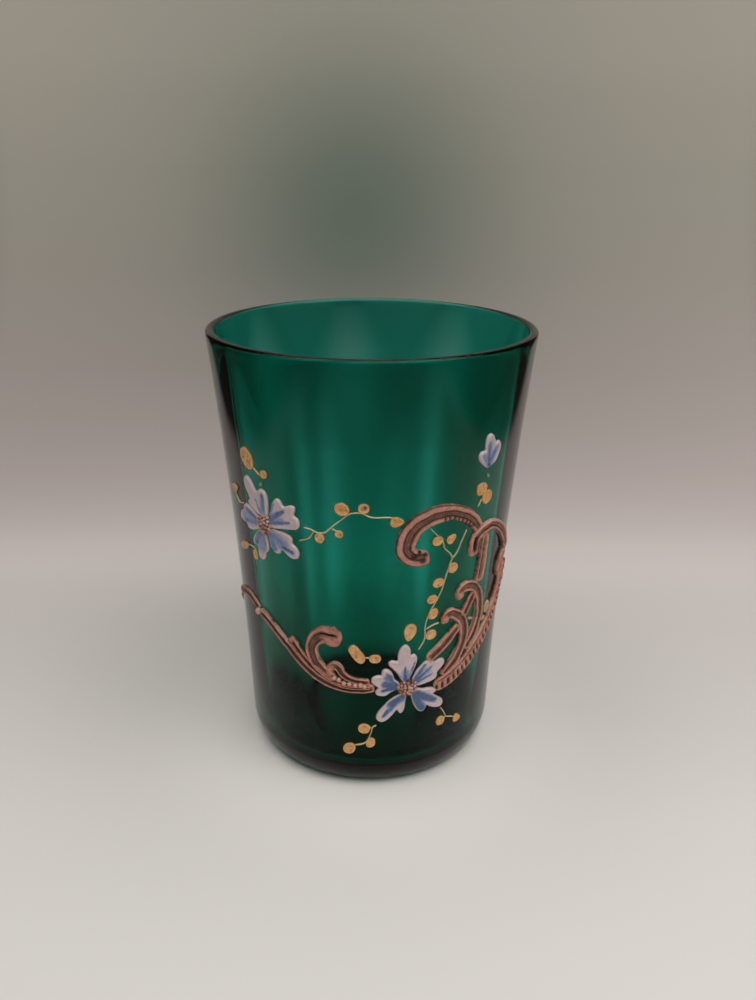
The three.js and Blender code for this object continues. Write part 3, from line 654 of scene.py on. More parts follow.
def ribbon(route, widths, height, section, seed, step=0.27, across=33, head=None, ribs=False, pits=None,
           dents=()):
    """A stroke of raised enamel swept along a smooth route, with round ends.

    head is the section that it starts with and how far that reaches; ribs cut leaning notches
    across it; pits is a row of pits: place across, first and last distance; dents are single pits:
    distance (from the end where negative), place across and size.
    """
    path, along, distance = smooth_route(route, step)
    length = distance[-1]
    round_end = np.minimum(rounding(distance, widths[0] / 2), rounding(length - distance, widths[-1] / 2))
    wobble = 1 + uneven(EDGE_WOBBLE, path[:, 0], path[:, 1], 1.3, seed + 2)
    half = np.interp(distance / length, np.linspace(0, 1, len(widths)), widths) / 2 * round_end * wobble
    turn = np.gradient(np.unwrap(np.arctan2(along[:, 1], along[:, 0])), distance)
    room = TURN_ROOM / np.maximum(np.abs(turn), 1e-6)
    left = np.where(turn > 0, np.minimum(half, room), half)[:, None]
    right = np.where(turn < 0, np.minimum(half, room), half)[:, None]
    side = np.sin(np.linspace(-1, 1, across) * EDGE_CROWD) / math.sin(EDGE_CROWD)
    u, z = beside(path, along, np.where(side > 0, side * left, side * right))
    side = np.broadcast_to(side, u.shape)
    s = np.broadcast_to(distance[:, None], u.shape)
    half = half[:, None]

    waver = side + uneven(0.10, s, side, 1.6, seed + 6)
    crest, tone = section_at(section, waver)
    if head:
        first_crest, first_tone = section_at(head[0], waver)
        opened = smoothstep(s, 0.5 * head[1], head[1])
        crest, tone = toward(first_crest, crest, opened), toward(first_tone, tone, opened)
    closing = smoothstep(np.minimum(s / widths[0], (length - s) / widths[-1]), *END_REACH)
    crest, tone = toward(END_CREST, crest, closing), toward(END_TONE, tone, closing)

    cuts = []
    if ribs:
        cuts.append((NOTCH_DEPTH, rope_notches(s, side, half, seed + 5)))
    if pits:
        cuts.append((PIT_DEPTH, row_of_pits(s, side, *pits)))
    for place, across_at, size in dents:
        gap = np.hypot(s - place % length, (side - across_at) * half)
        cuts.append((PIT_DEPTH, bell(gap, 0, size)))
    for depth, cut in cuts:
        crest = crest - depth * cut
        tone = tone - CUT_TONE * cut

    rough = 1 + uneven(0.16, u, z, 0.5, seed + 3) + uneven(0.10, u, z, 0.18, seed + 4)
    lift = height * crest * rough * np.sqrt(round_end)[:, None]
    return sheet(u, z, lift, scroll_paint(u, z, tone, side, seed), path[0], path[-1])


def scroll(route, widths, section, seed, **more):
    """A ribbon of a scroll's common height."""
    return ribbon(route, widths, SCROLL_HEIGHT, section, seed, **more)


def stem(seed, *route):
    """A thin pale line of enamel."""
    path, along, distance = smooth_route(route, 0.3)
    round_end = np.minimum(rounding(distance, 0.25), rounding(distance[-1] - distance, 0.25))
    width = STEM_WIDTH * (0.8 + 0.5 * grain(path[:, 0], path[:, 1], 1.1, seed))
    side = np.linspace(-1, 1, 7)
    u, z = beside(path, along, side * (width / 2 * round_end)[:, None])
    lift = STEM_HEIGHT * np.sqrt(1 - side**2) * round_end[:, None]
    colour = blend(STEM, GOLD_PALE, 0.7 * smoothstep(grain(u, z, 2.2, seed + 7), 0.45, 0.8))
    return sheet(u, z, lift, colour, path[0], path[-1])


def dab(edge, heart, seed, worn=0.0, pale=0.0, base=None):
    """A dab of gold inside an edge: a thicker pale rim, specks, and a fine red-brown outline."""
    share = np.array([0.2, 0.4, 0.55, 0.68, 0.79, 0.88, 0.95, 1.0])
    x = heart[0] + (edge[:, :1] - heart[0]) * share
    y = heart[1] + (edge[:, 1:] - heart[1]) * share
    rough = uneven(0.12, x, y, 0.5, seed + 1)
    lift = LEAF_HEIGHT * (0.66 + 0.34 * bell(share, 0.8, 0.13) - 0.45 * worn * (1 - share**2) + rough)
    lift[:, -1] = -SINK
    body = blend(GOLD, GOLD_PALE, smoothstep(grain(x, y, 0.9, seed + 2), 0.35, 0.85))
    body = blend(body, base or CREAM, np.full(x.shape, 1.0 if base else pale))
    strong = 0.0 if base else 1 - pale
    specks = smoothstep(grain(x, y, 0.42, seed + 3), 0.66, 0.82) * (1 - share**4)
    colour = blend(body, RUST, 0.6 * specks + worn * 0.6 * (1 - smoothstep(share, 0.2, 0.75)))
    colour = blend(colour, GOLD_PALE, np.broadcast_to(0.5 * strong * bell(share, 0.84, 0.08), x.shape))
    colour = blend(colour, GOLD_EDGE, np.broadcast_to(0.8 * strong * smoothstep(share, 0.9, 1.0), x.shape))
    return disc(x, y, lift, colour)


def leaf(seed, u, z, length, width, degrees=0, point=0.0, **finish_of):
    """An oval dab; point draws its far end out."""
    turn = math.radians(degrees)
    angle = np.linspace(0, 2 * math.pi, 40, endpoint=False)
    wobble = 1 + uneven(EDGE_WOBBLE, np.cos(angle) * 2, np.sin(angle) * 2, 1.0, seed)
    along = np.cos(angle) * length / 2 * wobble
    across = np.sin(angle) * width / 2 * (1 - point * np.cos(angle)) * wobble
    edge = np.stack([u + along * math.cos(turn) - across * math.sin(turn),
                     z + along * math.sin(turn) + across * math.cos(turn)], -1)
    return dab(edge, (u, z), seed, **finish_of)


def petal_rings(outline, heart):
    """Rings of points between a heart and an outline, and their gaps to the outline."""
    edge = freehand_outline(outline, PETAL_POINTS)
    share = 1 - (1 - np.linspace(FIRST_RING, 1, PETAL_RINGS)) ** 1.5
    u = heart[0] + (edge[:, :1] - heart[0]) * share
    z = heart[1] + (edge[:, 1:] - heart[1]) * share
    rim_gap = np.hypot(u[..., None] - edge[:, 0], z[..., None] - edge[:, 1]).min(-1)
    return u, z, rim_gap


def brushed(u, z, stroke, seed):
    """How strongly one stroke of the brush paints each point."""
    u0, z0, u1, z1, first_width, last_width, strength = stroke
    run = np.array([u1 - u0, z1 - z0])
    t = np.clip(((u - u0) * run[0] + (z - z0) * run[1]) / (run @ run), 0, 1)
    gap = np.hypot(u - u0 - t * run[0], z - z0 - t * run[1])
    ragged = uneven(0.18, u * run[0] + z * run[1], u * run[1] - z * run[0], 1.4, seed)
    half = (first_width + (last_width - first_width) * t) / 2
    return strength * (1 - smoothstep(gap + ragged, half * 0.4, half * 1.5))


def petal(root, heart, outline, strokes, tint, seed):
    """A petal: a freehand dab of white enamel, with blue brushed outwards from its root."""
    u, z, rim_gap = petal_rings(outline, heart)
    away = np.hypot(u - root[0], z - root[1])
    around = np.degrees(np.arctan2(z - root[1], u - root[0]))
    streak = grain(around / 9 + 60, away / 3.5, 1.0, seed + 4)
    paint = np.maximum.reduce([brushed(u, z, stroke, seed + 9) for stroke in strokes])
    paint = paint * smoothstep(rim_gap, 0.05, 0.42)
    rim = bell(rim_gap, 0.45, 0.28)
    body = 0.74 + 0.26 * rim - 0.2 * np.clip(paint, 0, 1) + uneven(0.14, u, z, 0.9, seed + 1)
    lift = PETAL_HEIGHT * body * np.sqrt(smoothstep(rim_gap, -0.05, 0.32))
    lift[:, -1] = -SINK
    veil = np.clip(tint + 0.3 * (streak - 0.5), 0, 1) * smoothstep(rim_gap, 0.15, 0.7)
    paint = paint * (0.7 + 0.35 * streak + 0.3 * grain(u, z, 0.6, seed + 5))
    colour = blend(blend(WHITE, LAVENDER, veil), LAVENDER, smoothstep(paint, 0.03, 0.55))
    return disc(u, z, lift, blend(colour, BLUE, smoothstep(paint, 0.45, 1.0)))


def granule(u, z, size, top, tone):
    """A round grain of enamel that stands in the enamel round it."""
    ring = np.linspace(0, 2 * math.pi, 10, endpoint=False)[:, None]
    reach = np.array([0.4, 0.75, 1.0])
    x, y = u + size * reach * np.cos(ring), z + size * reach * np.sin(ring)
    lift = np.broadcast_to(top - 0.42 * reach**2.2, x.shape).copy()
    lift[:, -1] = 0.2
    return disc(x, y, lift, np.broadcast_to(tone, (*x.shape, 3)))


def bead(u, z, seed, size=BEAD_SIZE):
    """A pale bead dropped on a scroll."""
    tone = blend(SCROLL_TONES[-1], FRINGE, np.random.default_rng(seed).random())
    return granule(u, z, size, BEAD_HEIGHT, tone)


def flower_centre(u, z, wide, tall, seed, spot):
    """A low oval dome packed with granules on a sunflower spiral; the palest lie near the spot."""
    angle = np.linspace(0, 2 * math.pi, 48, endpoint=False)[:, None]
    share = np.array([0.12, 0.25, 0.38, 0.5, 0.62, 0.74, 0.85, 0.94, 1.0])
    x, y = u + wide * share * np.cos(angle), z + tall * share * np.sin(angle)
    lift = CENTRE_HEIGHT * np.sqrt(np.clip(1 - share**3, 0, 1)) * (0.9 + uneven(0.2, x, y, 0.4, seed))
    lift[:, -1] = -SINK
    shells = [disc(x, y, lift, blend(CENTRE_GROUND, GRANULE, 0.7 * grain(x, y, 0.45, seed + 1)))]
    rng = np.random.default_rng(seed)
    for k in range(GRANULES):
        away = 0.88 * math.sqrt((k + 0.5) / GRANULES)
        turn = k * GOLDEN_TURN + seed
        middle_u = u + wide * away * math.cos(turn) + rng.uniform(-0.1, 0.1)
        middle_z = z + tall * away * math.sin(turn) + rng.uniform(-0.1, 0.1)
        size = rng.uniform(*GRANULE_SIZES)
        near = bell(math.hypot(middle_u - spot[0], middle_z - spot[1]), 0, 1.3)
        tone = blend(blend(GRANULE, GRANULE_ORANGE, rng.random()), GRANULE_PALE, max(near, rng.random() ** 3))
        top = rng.uniform(0.85, 1.0) * BEAD_HEIGHT * (1 - 0.25 * away**2)
        shells.append(granule(middle_u, middle_z, size, top, tone * rng.uniform(0.8, 1.15)))
    return shells


def enamel_material(name, roughness, depth, size, coat):
    """Fired enamel: its painted colour broken up by fine grain, with an uneven, pitted surface."""
    material, tree, shader = node_material(name)
    nodes, links = tree.nodes, tree.links
    paint = nodes.new("ShaderNodeAttribute")
    paint.attribute_name = "paint"
    place = nodes.new("ShaderNodeTexCoord")
    speckle = nodes.new("ShaderNodeTexNoise")
    set_inputs(speckle, {"Scale": size, "Detail": 6.0, "Roughness": 0.65})
    links.new(place.outputs["Object"], speckle.inputs["Vector"])
    spread = nodes.new("ShaderNodeMapRange")
    set_inputs(spread, {"From Min": 0.3, "From Max": 0.7, "To Min": 1 - depth, "To Max": 1 + depth * 0.6})
    links.new(speckle.outputs["Fac"], spread.inputs["Value"])
    tint = nodes.new("ShaderNodeVectorMath")
    tint.operation = "SCALE"
    links.new(paint.outputs["Color"], tint.inputs[0])
    links.new(spread.outputs["Result"], tint.inputs["Scale"])
    links.new(tint.outputs["Vector"], shader.inputs["Base Color"])
    gloss = nodes.new("ShaderNodeMapRange")
    set_inputs(gloss, {"To Min": roughness * 0.75, "To Max": min(1.0, roughness * 1.35)})
    links.new(speckle.outputs["Fac"], gloss.inputs["Value"])
    links.new(gloss.outputs["Result"], shader.inputs["Roughness"])
    bump = nodes.new("ShaderNodeBump")
    set_inputs(bump, {"Strength": 0.35, "Distance": 8e-5})
    links.new(speckle.outputs["Fac"], bump.inputs["Height"])
    links.new(bump.outputs["Normal"], shader.inputs["Normal"])
    set_inputs(shader, {"Coat Weight": coat, "Coat Roughness": 0.25})
    return material


def lay(name, slot, *shells):
    """One piece of enamel, made of closed shells fused side by side."""
    points = np.vstack([s[0] for s in shells])
    faces, offset = [], 0
    for shell_points, shell_faces, _ in shells:
        faces += [tuple(offset + k for k in face) for face in shell_faces]
        offset += len(shell_points)
    piece = new_mesh(name + "_enamel", points, faces, finish[slot])
    paint_points(piece, "paint", np.clip(np.vstack([s[2] for s in shells]), 0, 1))
    put(piece, slot, name)


def pink(name, *shells):
    lay(name, "pink_enamel", *shells)


def gold(name, *shells):
    lay(name, "gold_enamel", *shells)


# A petal: the heart that its outline is seen whole from, its outline, the strokes of blue brushed
# on it (both ends, both widths, strength), and how blue its veil is
LEFT_ROOT = (-23.3, 63.5)
LEFT_PETALS = (
    ((-23.9, 66.5), (
        (-25.2, 65.4), (-26.7, 66.2), (-27.9, 66.9), (-28.2, 67.5), (-27.4, 68.2), (-28.2, 69.7),
        (-28.8, 71.3), (-28.8, 72.5), (-28, 73.2), (-27.1, 73), (-26.1, 72), (-24.9, 70.5), (-24.3, 71),
        (-23.5, 71.5), (-22.5, 71.2), (-21.9, 70.2), (-21.8, 68.7), (-22, 67.2), (-22.3, 65.5), (-23.6, 65)),
     ((-23.3, 66.8, -23.1, 69.9, 1.1, 1.1, 0.8), (-23.5, 66.2, -23.2, 69.8, 2, 1.6, 0.4),
      (-24.4, 66.2, -25.4, 68.6, 0.8, 0.5, 0.6)), 0.1),
    ((-25.9, 63.3), (
        (-25.2, 64.8), (-27.4, 66.1), (-29, 66.4), (-29.9, 66.2), (-30.5, 65.3), (-30.5, 64.6),
        (-31.8, 64.1), (-32.3, 63.2), (-32.2, 62.1), (-31.1, 61.7), (-29.8, 61.6), (-29.2, 60.8),
        (-28, 60.7), (-26.6, 61.2), (-25.2, 62), (-24.6, 63.4)),
     ((-26.2, 64.3, -29.1, 65.1, 1.4, 1.4, 0.75), (-25.8, 63.6, -29.8, 63.5, 2.8, 3.2, 0.45),
      (-26.2, 63.3, -29.6, 62.6, 1.5, 1.4, 0.7)), 0.2),
    ((-24.6, 60.6), (
        (-25.2, 61.8), (-27.2, 59.9), (-28, 58.5), (-27.7, 57.6), (-26.4, 57.3), (-26.5, 56), (-26.2, 54.9),
        (-25.1, 54.5), (-24.3, 55.4), (-24, 56.6), (-23.4, 56.9), (-22.9, 58), (-22.9, 59.2), (-23.1, 60.6),
        (-23.3, 61.7), (-24.2, 62.2)),
     ((-24.9, 61.2, -26.6, 58.6, 1.3, 1.4, 0.8), (-24.6, 61.4, -24.6, 58, 4.4, 3.6, 0.48),
      (-24, 61, -23.6, 58.4, 1, 0.9, 0.6)), 0.2),
    ((-21.6, 61.9), (
        (-22.7, 61.6), (-22.4, 60.1), (-22.2, 59), (-21.5, 58), (-20.5, 57.5), (-19.6, 57.8), (-19.3, 58.6),
        (-18.6, 58.5), (-17.4, 57.7), (-16.3, 57.3), (-15.2, 57.7), (-14.8, 58.9), (-15.2, 60), (-16.3, 61),
        (-16.2, 61.9), (-16.8, 62.6), (-18.1, 63), (-19.7, 63.1), (-21.4, 63.2), (-22.4, 62.6)),
     ((-21.9, 61.7, -20.9, 58.8, 1.5, 1.5, 0.7), (-21.8, 62, -18.4, 60.2, 3.4, 3.2, 0.5),
      (-21, 61.9, -18.6, 60.4, 1.2, 1.2, 0.7), (-18.6, 59.6, -16.4, 58.8, 1, 0.9, 0.85)), 0.2),
    ((-20.9, 64.9), (
        (-21.9, 65.7), (-21, 67.6), (-20.6, 68.8), (-20, 69.9), (-19.3, 70.4), (-18.6, 70.2), (-17.7, 69),
        (-16.8, 69.3), (-15.8, 69.6), (-15.1, 69.3), (-15.1, 68.5), (-15.4, 67.5), (-14.5, 66.8),
        (-14.2, 65.9), (-14.4, 65), (-15.1, 64.3), (-16.6, 64), (-18.4, 63.7), (-20.9, 63.3), (-22, 64.3)),
     ((-21.6, 65.2, -17.9, 67.8, 1.7, 0.9, 0.85), (-21.2, 64.5, -16.6, 65.6, 1.3, 0.7, 0.75),
      (-21.6, 65, -18.4, 65.6, 2.6, 1.8, 0.42), (-21.7, 66.1, -20.1, 69, 1.1, 0.6, 0.6)), 0.1))
LOW_ROOT = (8.85, 27.45)
LOW_PETALS = (
    ((8.3, 30.7), (
        (7.5, 29.3), (6.4, 31.2), (5.2, 32.7), (4.4, 33.6), (4.3, 34.3), (5, 34.8), (6.3, 34.6),
        (6.4, 36.1), (6.9, 37.6), (8, 38.5), (8.9, 37.9), (9.3, 36.9), (9.4, 35.7), (10.2, 35.8),
        (10.9, 35), (10.8, 33.4), (10.1, 31.5), (9.3, 29.5), (8.4, 28.7)),
     ((8.2, 29.7, 8.1, 32.9, 1.1, 0.25, 1.2), (7, 30.3, 5.9, 32.1, 0.8, 0.3, 0.85),
      (9.3, 30.3, 10.3, 33.8, 0.8, 0.3, 0.8), (8.3, 29.6, 8.3, 31.2, 2.8, 2.2, 0.55)), 0.04),
    ((5.6, 28.5), (
        (6.6, 29.2), (5.8, 29.9), (5.5, 31), (4.9, 32.1), (4.1, 32.7), (3.2, 32.6), (2.8, 31.9),
        (2.7, 31.2), (1.6, 31.1), (0.7, 30.6), (0.4, 29.7), (0.8, 28.9), (1.9, 28), (1.4, 27), (1.6, 26.2),
        (2.5, 25.8), (3.8, 25.8), (4.8, 26.5), (6.3, 27.3), (7.2, 28.1)),
     ((6.6, 28.7, 4.4, 30.4, 2.8, 2.2, 0.75), (6.6, 28.3, 3.6, 28.8, 2.4, 1.8, 0.85),
      (6.2, 27.8, 3.1, 27.2, 1, 0.9, 1), (3.8, 29.4, 3.4, 29.1, 0.7, 0.7, 0.9),
      (4.9, 31, 3.9, 31.4, 0.9, 0.6, 0.7)), 0.04),
    ((7.4, 24.6), (
        (6.9, 25.8), (5.6, 25.2), (4.6, 24.5), (3.6, 23.4), (2.4, 22), (1.7, 20.8), (1.7, 19.7),
        (2.3, 19.1), (3.3, 18.9), (4.5, 19.6), (5.5, 20.7), (6.5, 21.8), (6.9, 21.2), (7.4, 20.8),
        (7.9, 21.1), (8.3, 21.9), (8.5, 23.6), (8.7, 25.3), (7.9, 26.2)),
     ((7.4, 25.2, 5, 23.6, 2.4, 2.2, 1), (5.8, 23.4, 3.5, 20.6, 1.5, 0.8, 0.85),
      (4.3, 22, 3.3, 20.5, 0.9, 0.7, 1.05)), 0.06),
    ((10.9, 25.4), (
        (9.8, 25.3), (10.2, 23.5), (10.9, 21.9), (11.8, 20.7), (12.5, 20.3), (13.2, 20.4), (13.7, 21.1),
        (13.9, 21.7), (14.9, 21), (16.3, 20.4), (17.7, 20.3), (18.4, 21.1), (18.3, 22), (17.3, 22.9),
        (15.9, 24), (15.6, 24.5), (16.4, 24.8), (16.4, 25.4), (15.6, 25.9), (14.3, 26.3), (12.9, 26.4),
        (11, 26.9), (10, 26.5)),
     ((10.4, 25.3, 12.6, 21.5, 2.2, 2, 1.15), (11.2, 25.2, 15.8, 22.7, 2.4, 1.5, 1.05),
      (13, 24.6, 15.4, 23.4, 1.6, 1.2, 0.8)), 0.15),
    ((10.9, 29), (
        (9.8, 29.1), (10.3, 30.3), (10.9, 31.5), (11.9, 32.5), (13, 33.4), (14, 33.7), (15, 33.3),
        (15.5, 32.8), (16.4, 33.1), (17.4, 33.1), (18, 32.6), (18, 31.7), (17.2, 30.7), (16.3, 29.8),
        (16.3, 29), (15.7, 28.2), (14.5, 27.8), (13, 27.6), (11, 27.5), (10.1, 28.2)),
     ((10.3, 29, 12.7, 32.5, 1.5, 1, 0.85), (10.5, 28.7, 14.6, 31.7, 1.1, 0.5, 0.95),
      (10.6, 28.3, 14.8, 29.8, 0.8, 0.5, 0.8), (10.2, 28.6, 13.4, 30.8, 2.8, 2.4, 0.42)), 0.06))
BUD_ROOT = (25.1, 75.9)
BUD = ((25.3, 77.9), (
    (25.1, 76), (23.6, 77), (22.5, 78.1), (22.1, 79), (22.3, 79.7), (22.8, 80.1), (23.6, 80.1),
    (23.6, 81.1), (23.6, 82.4), (24.1, 83.3), (24.9, 83.5), (25.7, 82.9), (26.3, 81.8), (26.7, 81),
    (27.1, 81.4), (27.7, 81.4), (28.3, 80.7), (28.4, 79.5), (28, 78.3), (27.2, 77), (26.2, 76.4)),
    ((24.9, 77.3, 24.6, 81.2, 2.2, 1.5, 0.55), (24.9, 77.5, 24.7, 80.6, 0.8, 0.5, 0.8),
     (25.4, 77.5, 26.9, 80.2, 2, 1.3, 0.55), (25.4, 77.4, 26.5, 79.4, 0.7, 0.4, 0.75),
     (24.3, 77.6, 23.3, 79.2, 1.2, 0.9, 0.5), (25.1, 76.2, 25.1, 77.8, 1.6, 1, 0.9)), 0.2)
# Two leaves that have run together, and beads along the valley between the two left bands
DOUBLE_LEAF_HEART = (-2.7, 36.4)
DOUBLE_LEAF = ((-4.7, 37.6), (-4.3, 38.4), (-3.6, 38.8), (-2.8, 38.5), (-2, 37.6), (-1.2, 36.5),
               (-0.8, 35.6), (-0.9, 34.7), (-1.5, 34.1), (-2.3, 34.2), (-3.2, 35), (-4.2, 36.4))
VALLEY_BEADS = ((-7.8, 30.2), (-6.8, 29.8), (-5.6, 29.1), (-4.4, 29.1), (-3.1, 28.8), (-1.9, 28.9),
                (-1, 28.6))


def lay_petals(flower, root, petals, seed):
    for k, shape in enumerate(petals):
        lay(f"{flower}_petal_{k + 1}", "flower_enamel", petal(root, *shape, seed + k))


def lay_left_flower():
    lay("left_flower_centre", "centre_enamel", *flower_centre(*LEFT_ROOT, 2.35, 2.6, 11, (-22.4, 64.6)))
    lay_petals("left_flower", LEFT_ROOT, LEFT_PETALS, 21)


def lay_low_flower():
    """The lower flower, with a grain in a dark hollow of its centre."""
    lay("low_flower_centre", "centre_enamel", *flower_centre(*LOW_ROOT, 2.45, 2.25, 13, (9.7, 27.1)),
        granule(9.2, 28.9, 0.95, BEAD_HEIGHT - 0.1, CENTRE_GROUND),
        granule(8.9, 28.9, 0.6, BEAD_HEIGHT, GRANULE))
    lay_petals("low_flower", LOW_ROOT, LOW_PETALS, 31)


def lay_bud():
    lay("bud_petals", "flower_enamel", petal(BUD_ROOT, *BUD, 41))
    gold("bud_dot", leaf(42, 25.5, 74.2, 0.9, 0.6, 90, base=PALE_GREEN))
    gold("bud_leaves",
         leaf(43, 24.1, 71.6, 3.2, 3, 0, 0.1), leaf(44, 26, 69.4, 3.4, 3.2, -30, -0.1),
         stem(45, (25.1, 69.7), (24.3, 68.9), (23.6, 67.6)))


def lay_right_scrolls():
    pink("rope_band", ribbon(
        [(15.5, 26.3), (18, 26.9), (21, 28), (24, 29.6), (27, 31.6), (30, 33.8), (32.8, 36.3), (35.2, 39.3),
         (37.2, 42.7), (38.7, 46.3), (39.5, 50)],
        (3.2, 4.2, 4), ROPE_HEIGHT, ROPE, 51, step=0.16, across=35, ribs=True))
    pink("right_crook", scroll(
        [(23.6, 56.3), (23.5, 58.3), (23.6, 59.9), (24.8, 61.4), (27, 62), (28.8, 62.2), (31.5, 61.2),
         (34.2, 59.3), (36.5, 56.9), (38.2, 54.3), (39.5, 52)],
        (2.5, 3.1, 2.8, 2.4, 2.5, 2.8, 2.8, 2.8), TRIPLE, 52,
        head=(SLIT_HEAD, 5), dents=((2, -0.1, 0.6), (3, -0.1, 0.6), (4.1, -0.1, 0.5))))
    pink("upper_crook", scroll(
        [(24.8, 62.3), (22.4, 65.3), (19.3, 67.3), (16.2, 68.3), (13.1, 68.2), (10.4, 67.2), (8.4, 65.5),
         (7.4, 63.2), (7.2, 61), (8.3, 59.5), (10.1, 58.9), (12.3, 59.4)],
        (2.6, 3.2, 3.3, 4.1, 4.4, 4.4, 4, 3.9), CROOK, 54, across=41, pits=(0.7, 2, 12.5),
        dents=((-0.9, 0.35, 0.5), (-1.6, -0.35, 0.5), (-2.6, 0.75, 0.55), (-3.4, 0.2, 0.5))))
    pink("right_volute", scroll(
        [(38.3, 47.6), (37.4, 48.9), (37.6, 50.7), (38.3, 52), (37.6, 52.9), (36.2, 52.2), (35.4, 50.6),
         (35.2, 48.8), (35.6, 47.2)], (0.9, 1), SINGLE, 56, across=17))
    pink("middle_crook", scroll(
        [(21.3, 46.8), (20.7, 48.2), (21.4, 49.3), (23.3, 49.4), (25.2, 48.4), (26.6, 46.5), (27.5, 44.2),
         (27.8, 40.9), (27, 37.9), (25.4, 35.3), (23.6, 33.4)],
        (2, 2.6, 2.6, 2.6, 2.8, 2.4), HOOK, 57, head=(SINGLE, 2.6)))
    pink("stem_scroll", scroll([(27, 60.9), (26.8, 55), (26.4, 49.2)], (2.4, 2.8, 3), STALK, 58))
    pink("lower_crook", scroll(
        [(17.2, 41.8), (17.3, 43.3), (18.4, 44.1), (19.8, 43.5), (21.6, 42), (22.8, 39.2), (22.8, 35.8),
         (21.3, 32.5), (19.2, 30.3), (17.3, 28.8)],
        (2, 2.6, 2.6, 2.8, 2.7, 2.6, 1.8), HOOK, 59, head=(SINGLE, 2.6)))
    pink("strut_scroll", scroll([(25.2, 47.5), (23.7, 44.8), (22.2, 42.1)], (2.2, 2.2), TWIN, 60))
    pink("diagonal_scroll", scroll(
        [(13.3, 33.7), (14.9, 34.9), (17.5, 36.9), (19.6, 38.9), (21.4, 40.5)], (2.4, 2.4), TWIN, 61))


def lay_left_scrolls():
    pink("left_crook", scroll(
        [(-5.9, 40.1), (-8.1, 40.3), (-10, 40.5), (-11.7, 39.6), (-12.9, 37.8), (-13.1, 35.6), (-12.3, 33.5),
         (-10.9, 31.9), (-9, 30.6), (-7.6, 29.9)],
        (4.4, 5.2, 4.2, 3.5, 3.2, 3, 2.9, 2.6, 2), HOOK, 62, across=41, head=(SLIT_HEAD, 6.5)))
    pink("left_curl", scroll(
        [(-8.9, 30.2), (-9, 31.6), (-8.6, 32.7), (-7.6, 33.2), (-6.7, 32.6), (-6.1, 31.5), (-4.8, 30.5),
         (-2.6, 29.8), (0.2, 29.5)],
        (1.9, 2.1, 2, 1.7, 1.5, 1.6, 1.6), TWIN, 64, across=27, head=(SINGLE, 4.5)))
    pink("left_inner_band", scroll(
        [(-18.7, 37.9), (-17.6, 36.6), (-16.2, 34.9), (-14.2, 33), (-12, 31.3), (-9.6, 29.9), (-7, 28.9),
         (-4, 28.4), (0.5, 28.6)], (1.9, 1.7, 1.5), TWIN, 65, across=27, head=(SINGLE, 1.6)),
        *[bead(u, z, 70 + k) for k, (u, z) in enumerate(VALLEY_BEADS)])
    pink("left_band", scroll(
        [(-28.4, 40.8), (-26.6, 40.4), (-23.9, 38.9), (-21.6, 37.2), (-18.9, 35.1), (-16.3, 32.7),
         (-13.7, 30.7), (-11.1, 29.2), (-8.2, 28.2), (-4.9, 27.7), (-1.4, 27.7), (1.3, 28.1)],
        (2, 2), TWIN, 66), bead(-29.1, 40.4, 79, 0.9))
    pink("left_tail", ribbon(
        [(-50.3, 27.1), (-50, 25.5), (-51.3, 24.5), (-52.9, 25.8), (-53.2, 28.5), (-51.8, 31.6), (-49, 34.5),
         (-46, 37.1), (-43, 39.3), (-40, 41), (-37, 42.3), (-34.5, 42.8), (-32.3, 42.6), (-30.3, 41.8),
         (-28.8, 40.9)], (1.6, 1.8, 2, 2), TAIL_HEIGHT, TWIN, 67, across=27))


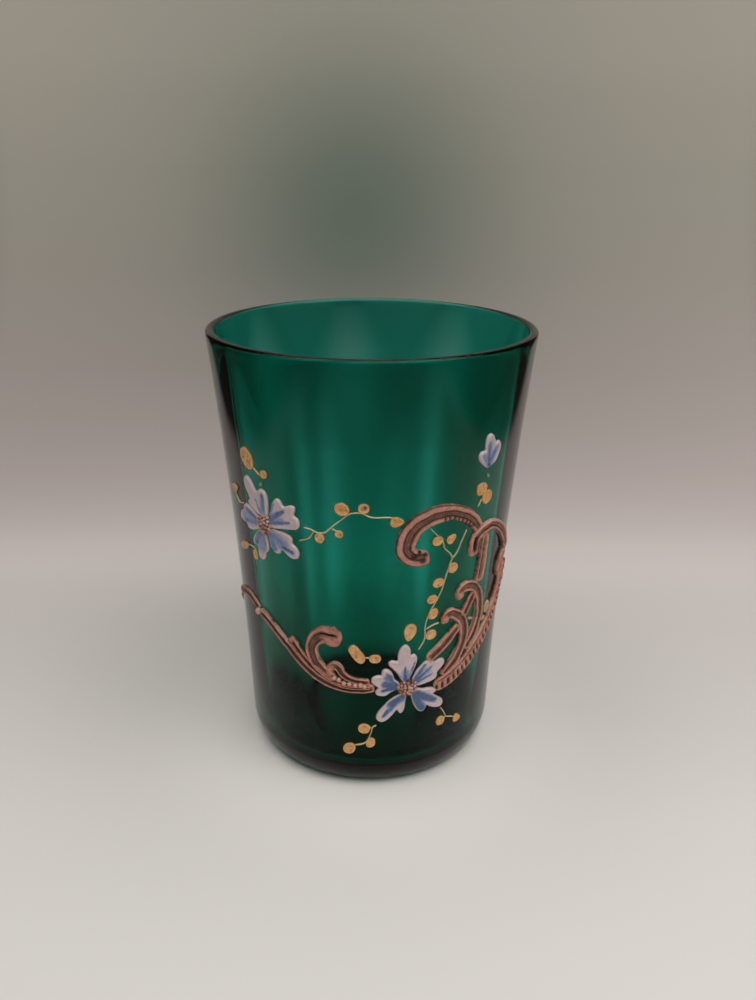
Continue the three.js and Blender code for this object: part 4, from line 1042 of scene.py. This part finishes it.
def lay_upper_sprigs():
    gold("top_left_sprig", leaf(71, -26.9, 77.2, 5, 3.7, -62), leaf(72, -22.2, 74.9, 2, 1.9, 20),
         stem(73, (-26, 76), (-24.4, 75.1), (-23.5, 74.3)), stem(74, (-22.6, 74.6), (-23.5, 74.3)))
    gold("left_flower_dot", leaf(75, -23.3, 72.4, 0.9, 0.7, 90, base=PALE_GREEN))
    gold("side_left_sprig", leaf(76, -34.5, 68.2, 3.2, 1.9, 15, pale=0.6),
         stem(77, (-34.8, 67.7), (-32.8, 65.6), (-30.7, 65.9)))
    gold("low_left_sprig",
         leaf(78, -33, 55.2, 4.6, 1.9, 22, pale=0.5), leaf(79, -27.9, 54.8, 2.6, 1.8, 90, pale=0.5),
         stem(80, (-31.8, 55.7), (-29.8, 56.3), (-27.8, 56.3)), stem(81, (-27.9, 56.4), (-27.9, 55)))
    gold("middle_sprig",
         stem(82, (-13.55, 65.25), (-11.8, 65), (-10.8, 64.6), (-9, 64.7), (-7.2, 66.4), (-5.3, 68.1),
              (-3.7, 69.4), (-1.55, 69.6), (0.3, 68.75), (4.1, 68.6), (5.6, 67.9)),
         stem(83, (-14.8, 61.9), (-12.3, 63), (-11.3, 64.6)), stem(84, (-7.7, 66), (-6.2, 65.2)),
         leaf(85, -10, 63.4, 2.4, 2.1, 80), leaf(86, -6, 64.8, 1.8, 1.7),
         leaf(87, -5.3, 70.3, 3.1, 2.8, -35, worn=0.3), leaf(88, -1.1, 70.6, 2.3, 2.2, worn=1),
         leaf(89, 5.3, 67.6, 2.9, 2.2, 0, 0.35, worn=0.3))
    gold("vine_sprig",
         stem(90, (12.2, 65.4), (13.8, 63.6), (15.2, 62), (15.8, 60.25), (17.45, 58.5), (17.9, 57.4),
              (17.45, 56), (16.6, 53), (15.95, 50.5), (15.2, 48.75), (14.2, 47), (13.45, 45.75),
              (12.7, 43.5), (12.45, 42), (12.45, 39), (11.1, 36.5)),
         stem(91, (21.2, 63.4), (19.95, 60.75), (19.2, 58.75), (18, 57.3)),
         stem(92, (12.6, 41.4), (14.2, 42.1), (16, 42.4)), stem(93, (13.1, 43.9), (14, 44.6)),
         stem(94, (12.4, 39), (13.6, 39.6)), leaf(95, 14, 62.25, 2.6, 2.2, 10),
         leaf(96, 18.3, 55.1, 2.6, 2.5), leaf(97, 14.9, 52.3, 2.8, 2.2, 10),
         leaf(98, 13.7, 48.6, 2.6, 2.1, 10), leaf(99, 14.2, 45, 2.7, 2.5, 60),
         leaf(100, 14, 39.9, 2.8, 2.5, 15))
    gold("vine_leaf", leaf(101, 17.25, 62.1, 2.6, 1.9, 40, 0.3))


def lay_lower_sprigs():
    gold("single_leaf", leaf(102, 8.9, 41.3, 4.3, 2.8, -100, 0.35))
    gold("double_leaf", dab(freehand_outline(DOUBLE_LEAF, 48), DOUBLE_LEAF_HEART, 103),
         leaf(104, 1.3, 35.4, 2.9, 2.2), stem(105, (-1, 35.6), (0.6, 35.6)))
    gold("bottom_left_sprig",
         stem(106, (1.9, 18), (1, 17.6), (0.45, 15.9), (-0.1, 14.5), (-1, 13.2), (-3.4, 12.5)),
         stem(107, (0.8, 17.4), (-0.4, 17.3)), leaf(108, -1.1, 17.2, 3, 2.7),
         leaf(109, 0.4, 13.4, 2.8, 2.3, 70), leaf(110, -4.7, 11.6, 3.4, 2.8, 40))
    gold("bottom_right_sprig",
         stem(111, (18, 19.7), (18.9, 18.5), (20, 16.6), (21.3, 16.1), (22.8, 15.3)),
         stem(112, (19.9, 16.7), (18.5, 16.4)), leaf(113, 18.15, 16.2, 2.6, 2.5),
         leaf(114, 23.5, 14.9, 2.6, 2.1, -20, 0.3))
    gold("right_leaf", leaf(115, 31.7, 40.9, 3.1, 2, 60, pale=0.9))
    gold("right_stub_1", leaf(116, 25.1, 40.6, 1.6, 0.7, -15, pale=0.9))
    gold("right_stub_2", leaf(117, 30.5, 38.5, 1.6, 0.7, 30, pale=0.9))


make_camera()
make_lights()
make_stage()
scene.view_settings.view_transform = "Standard"
scene.cycles.transmission_bounces = 16
scene.cycles.max_bounces = 24

glass = glass_mesh(glass_material())
put(glass, "green_glass", "glass_body")

finish = {slot: enamel_material(slot, *numbers) for slot, numbers in ENAMELS.items()}
lay_left_flower()
lay_low_flower()
lay_bud()
lay_right_scrolls()
lay_left_scrolls()
lay_upper_sprigs()
lay_lower_sprigs()
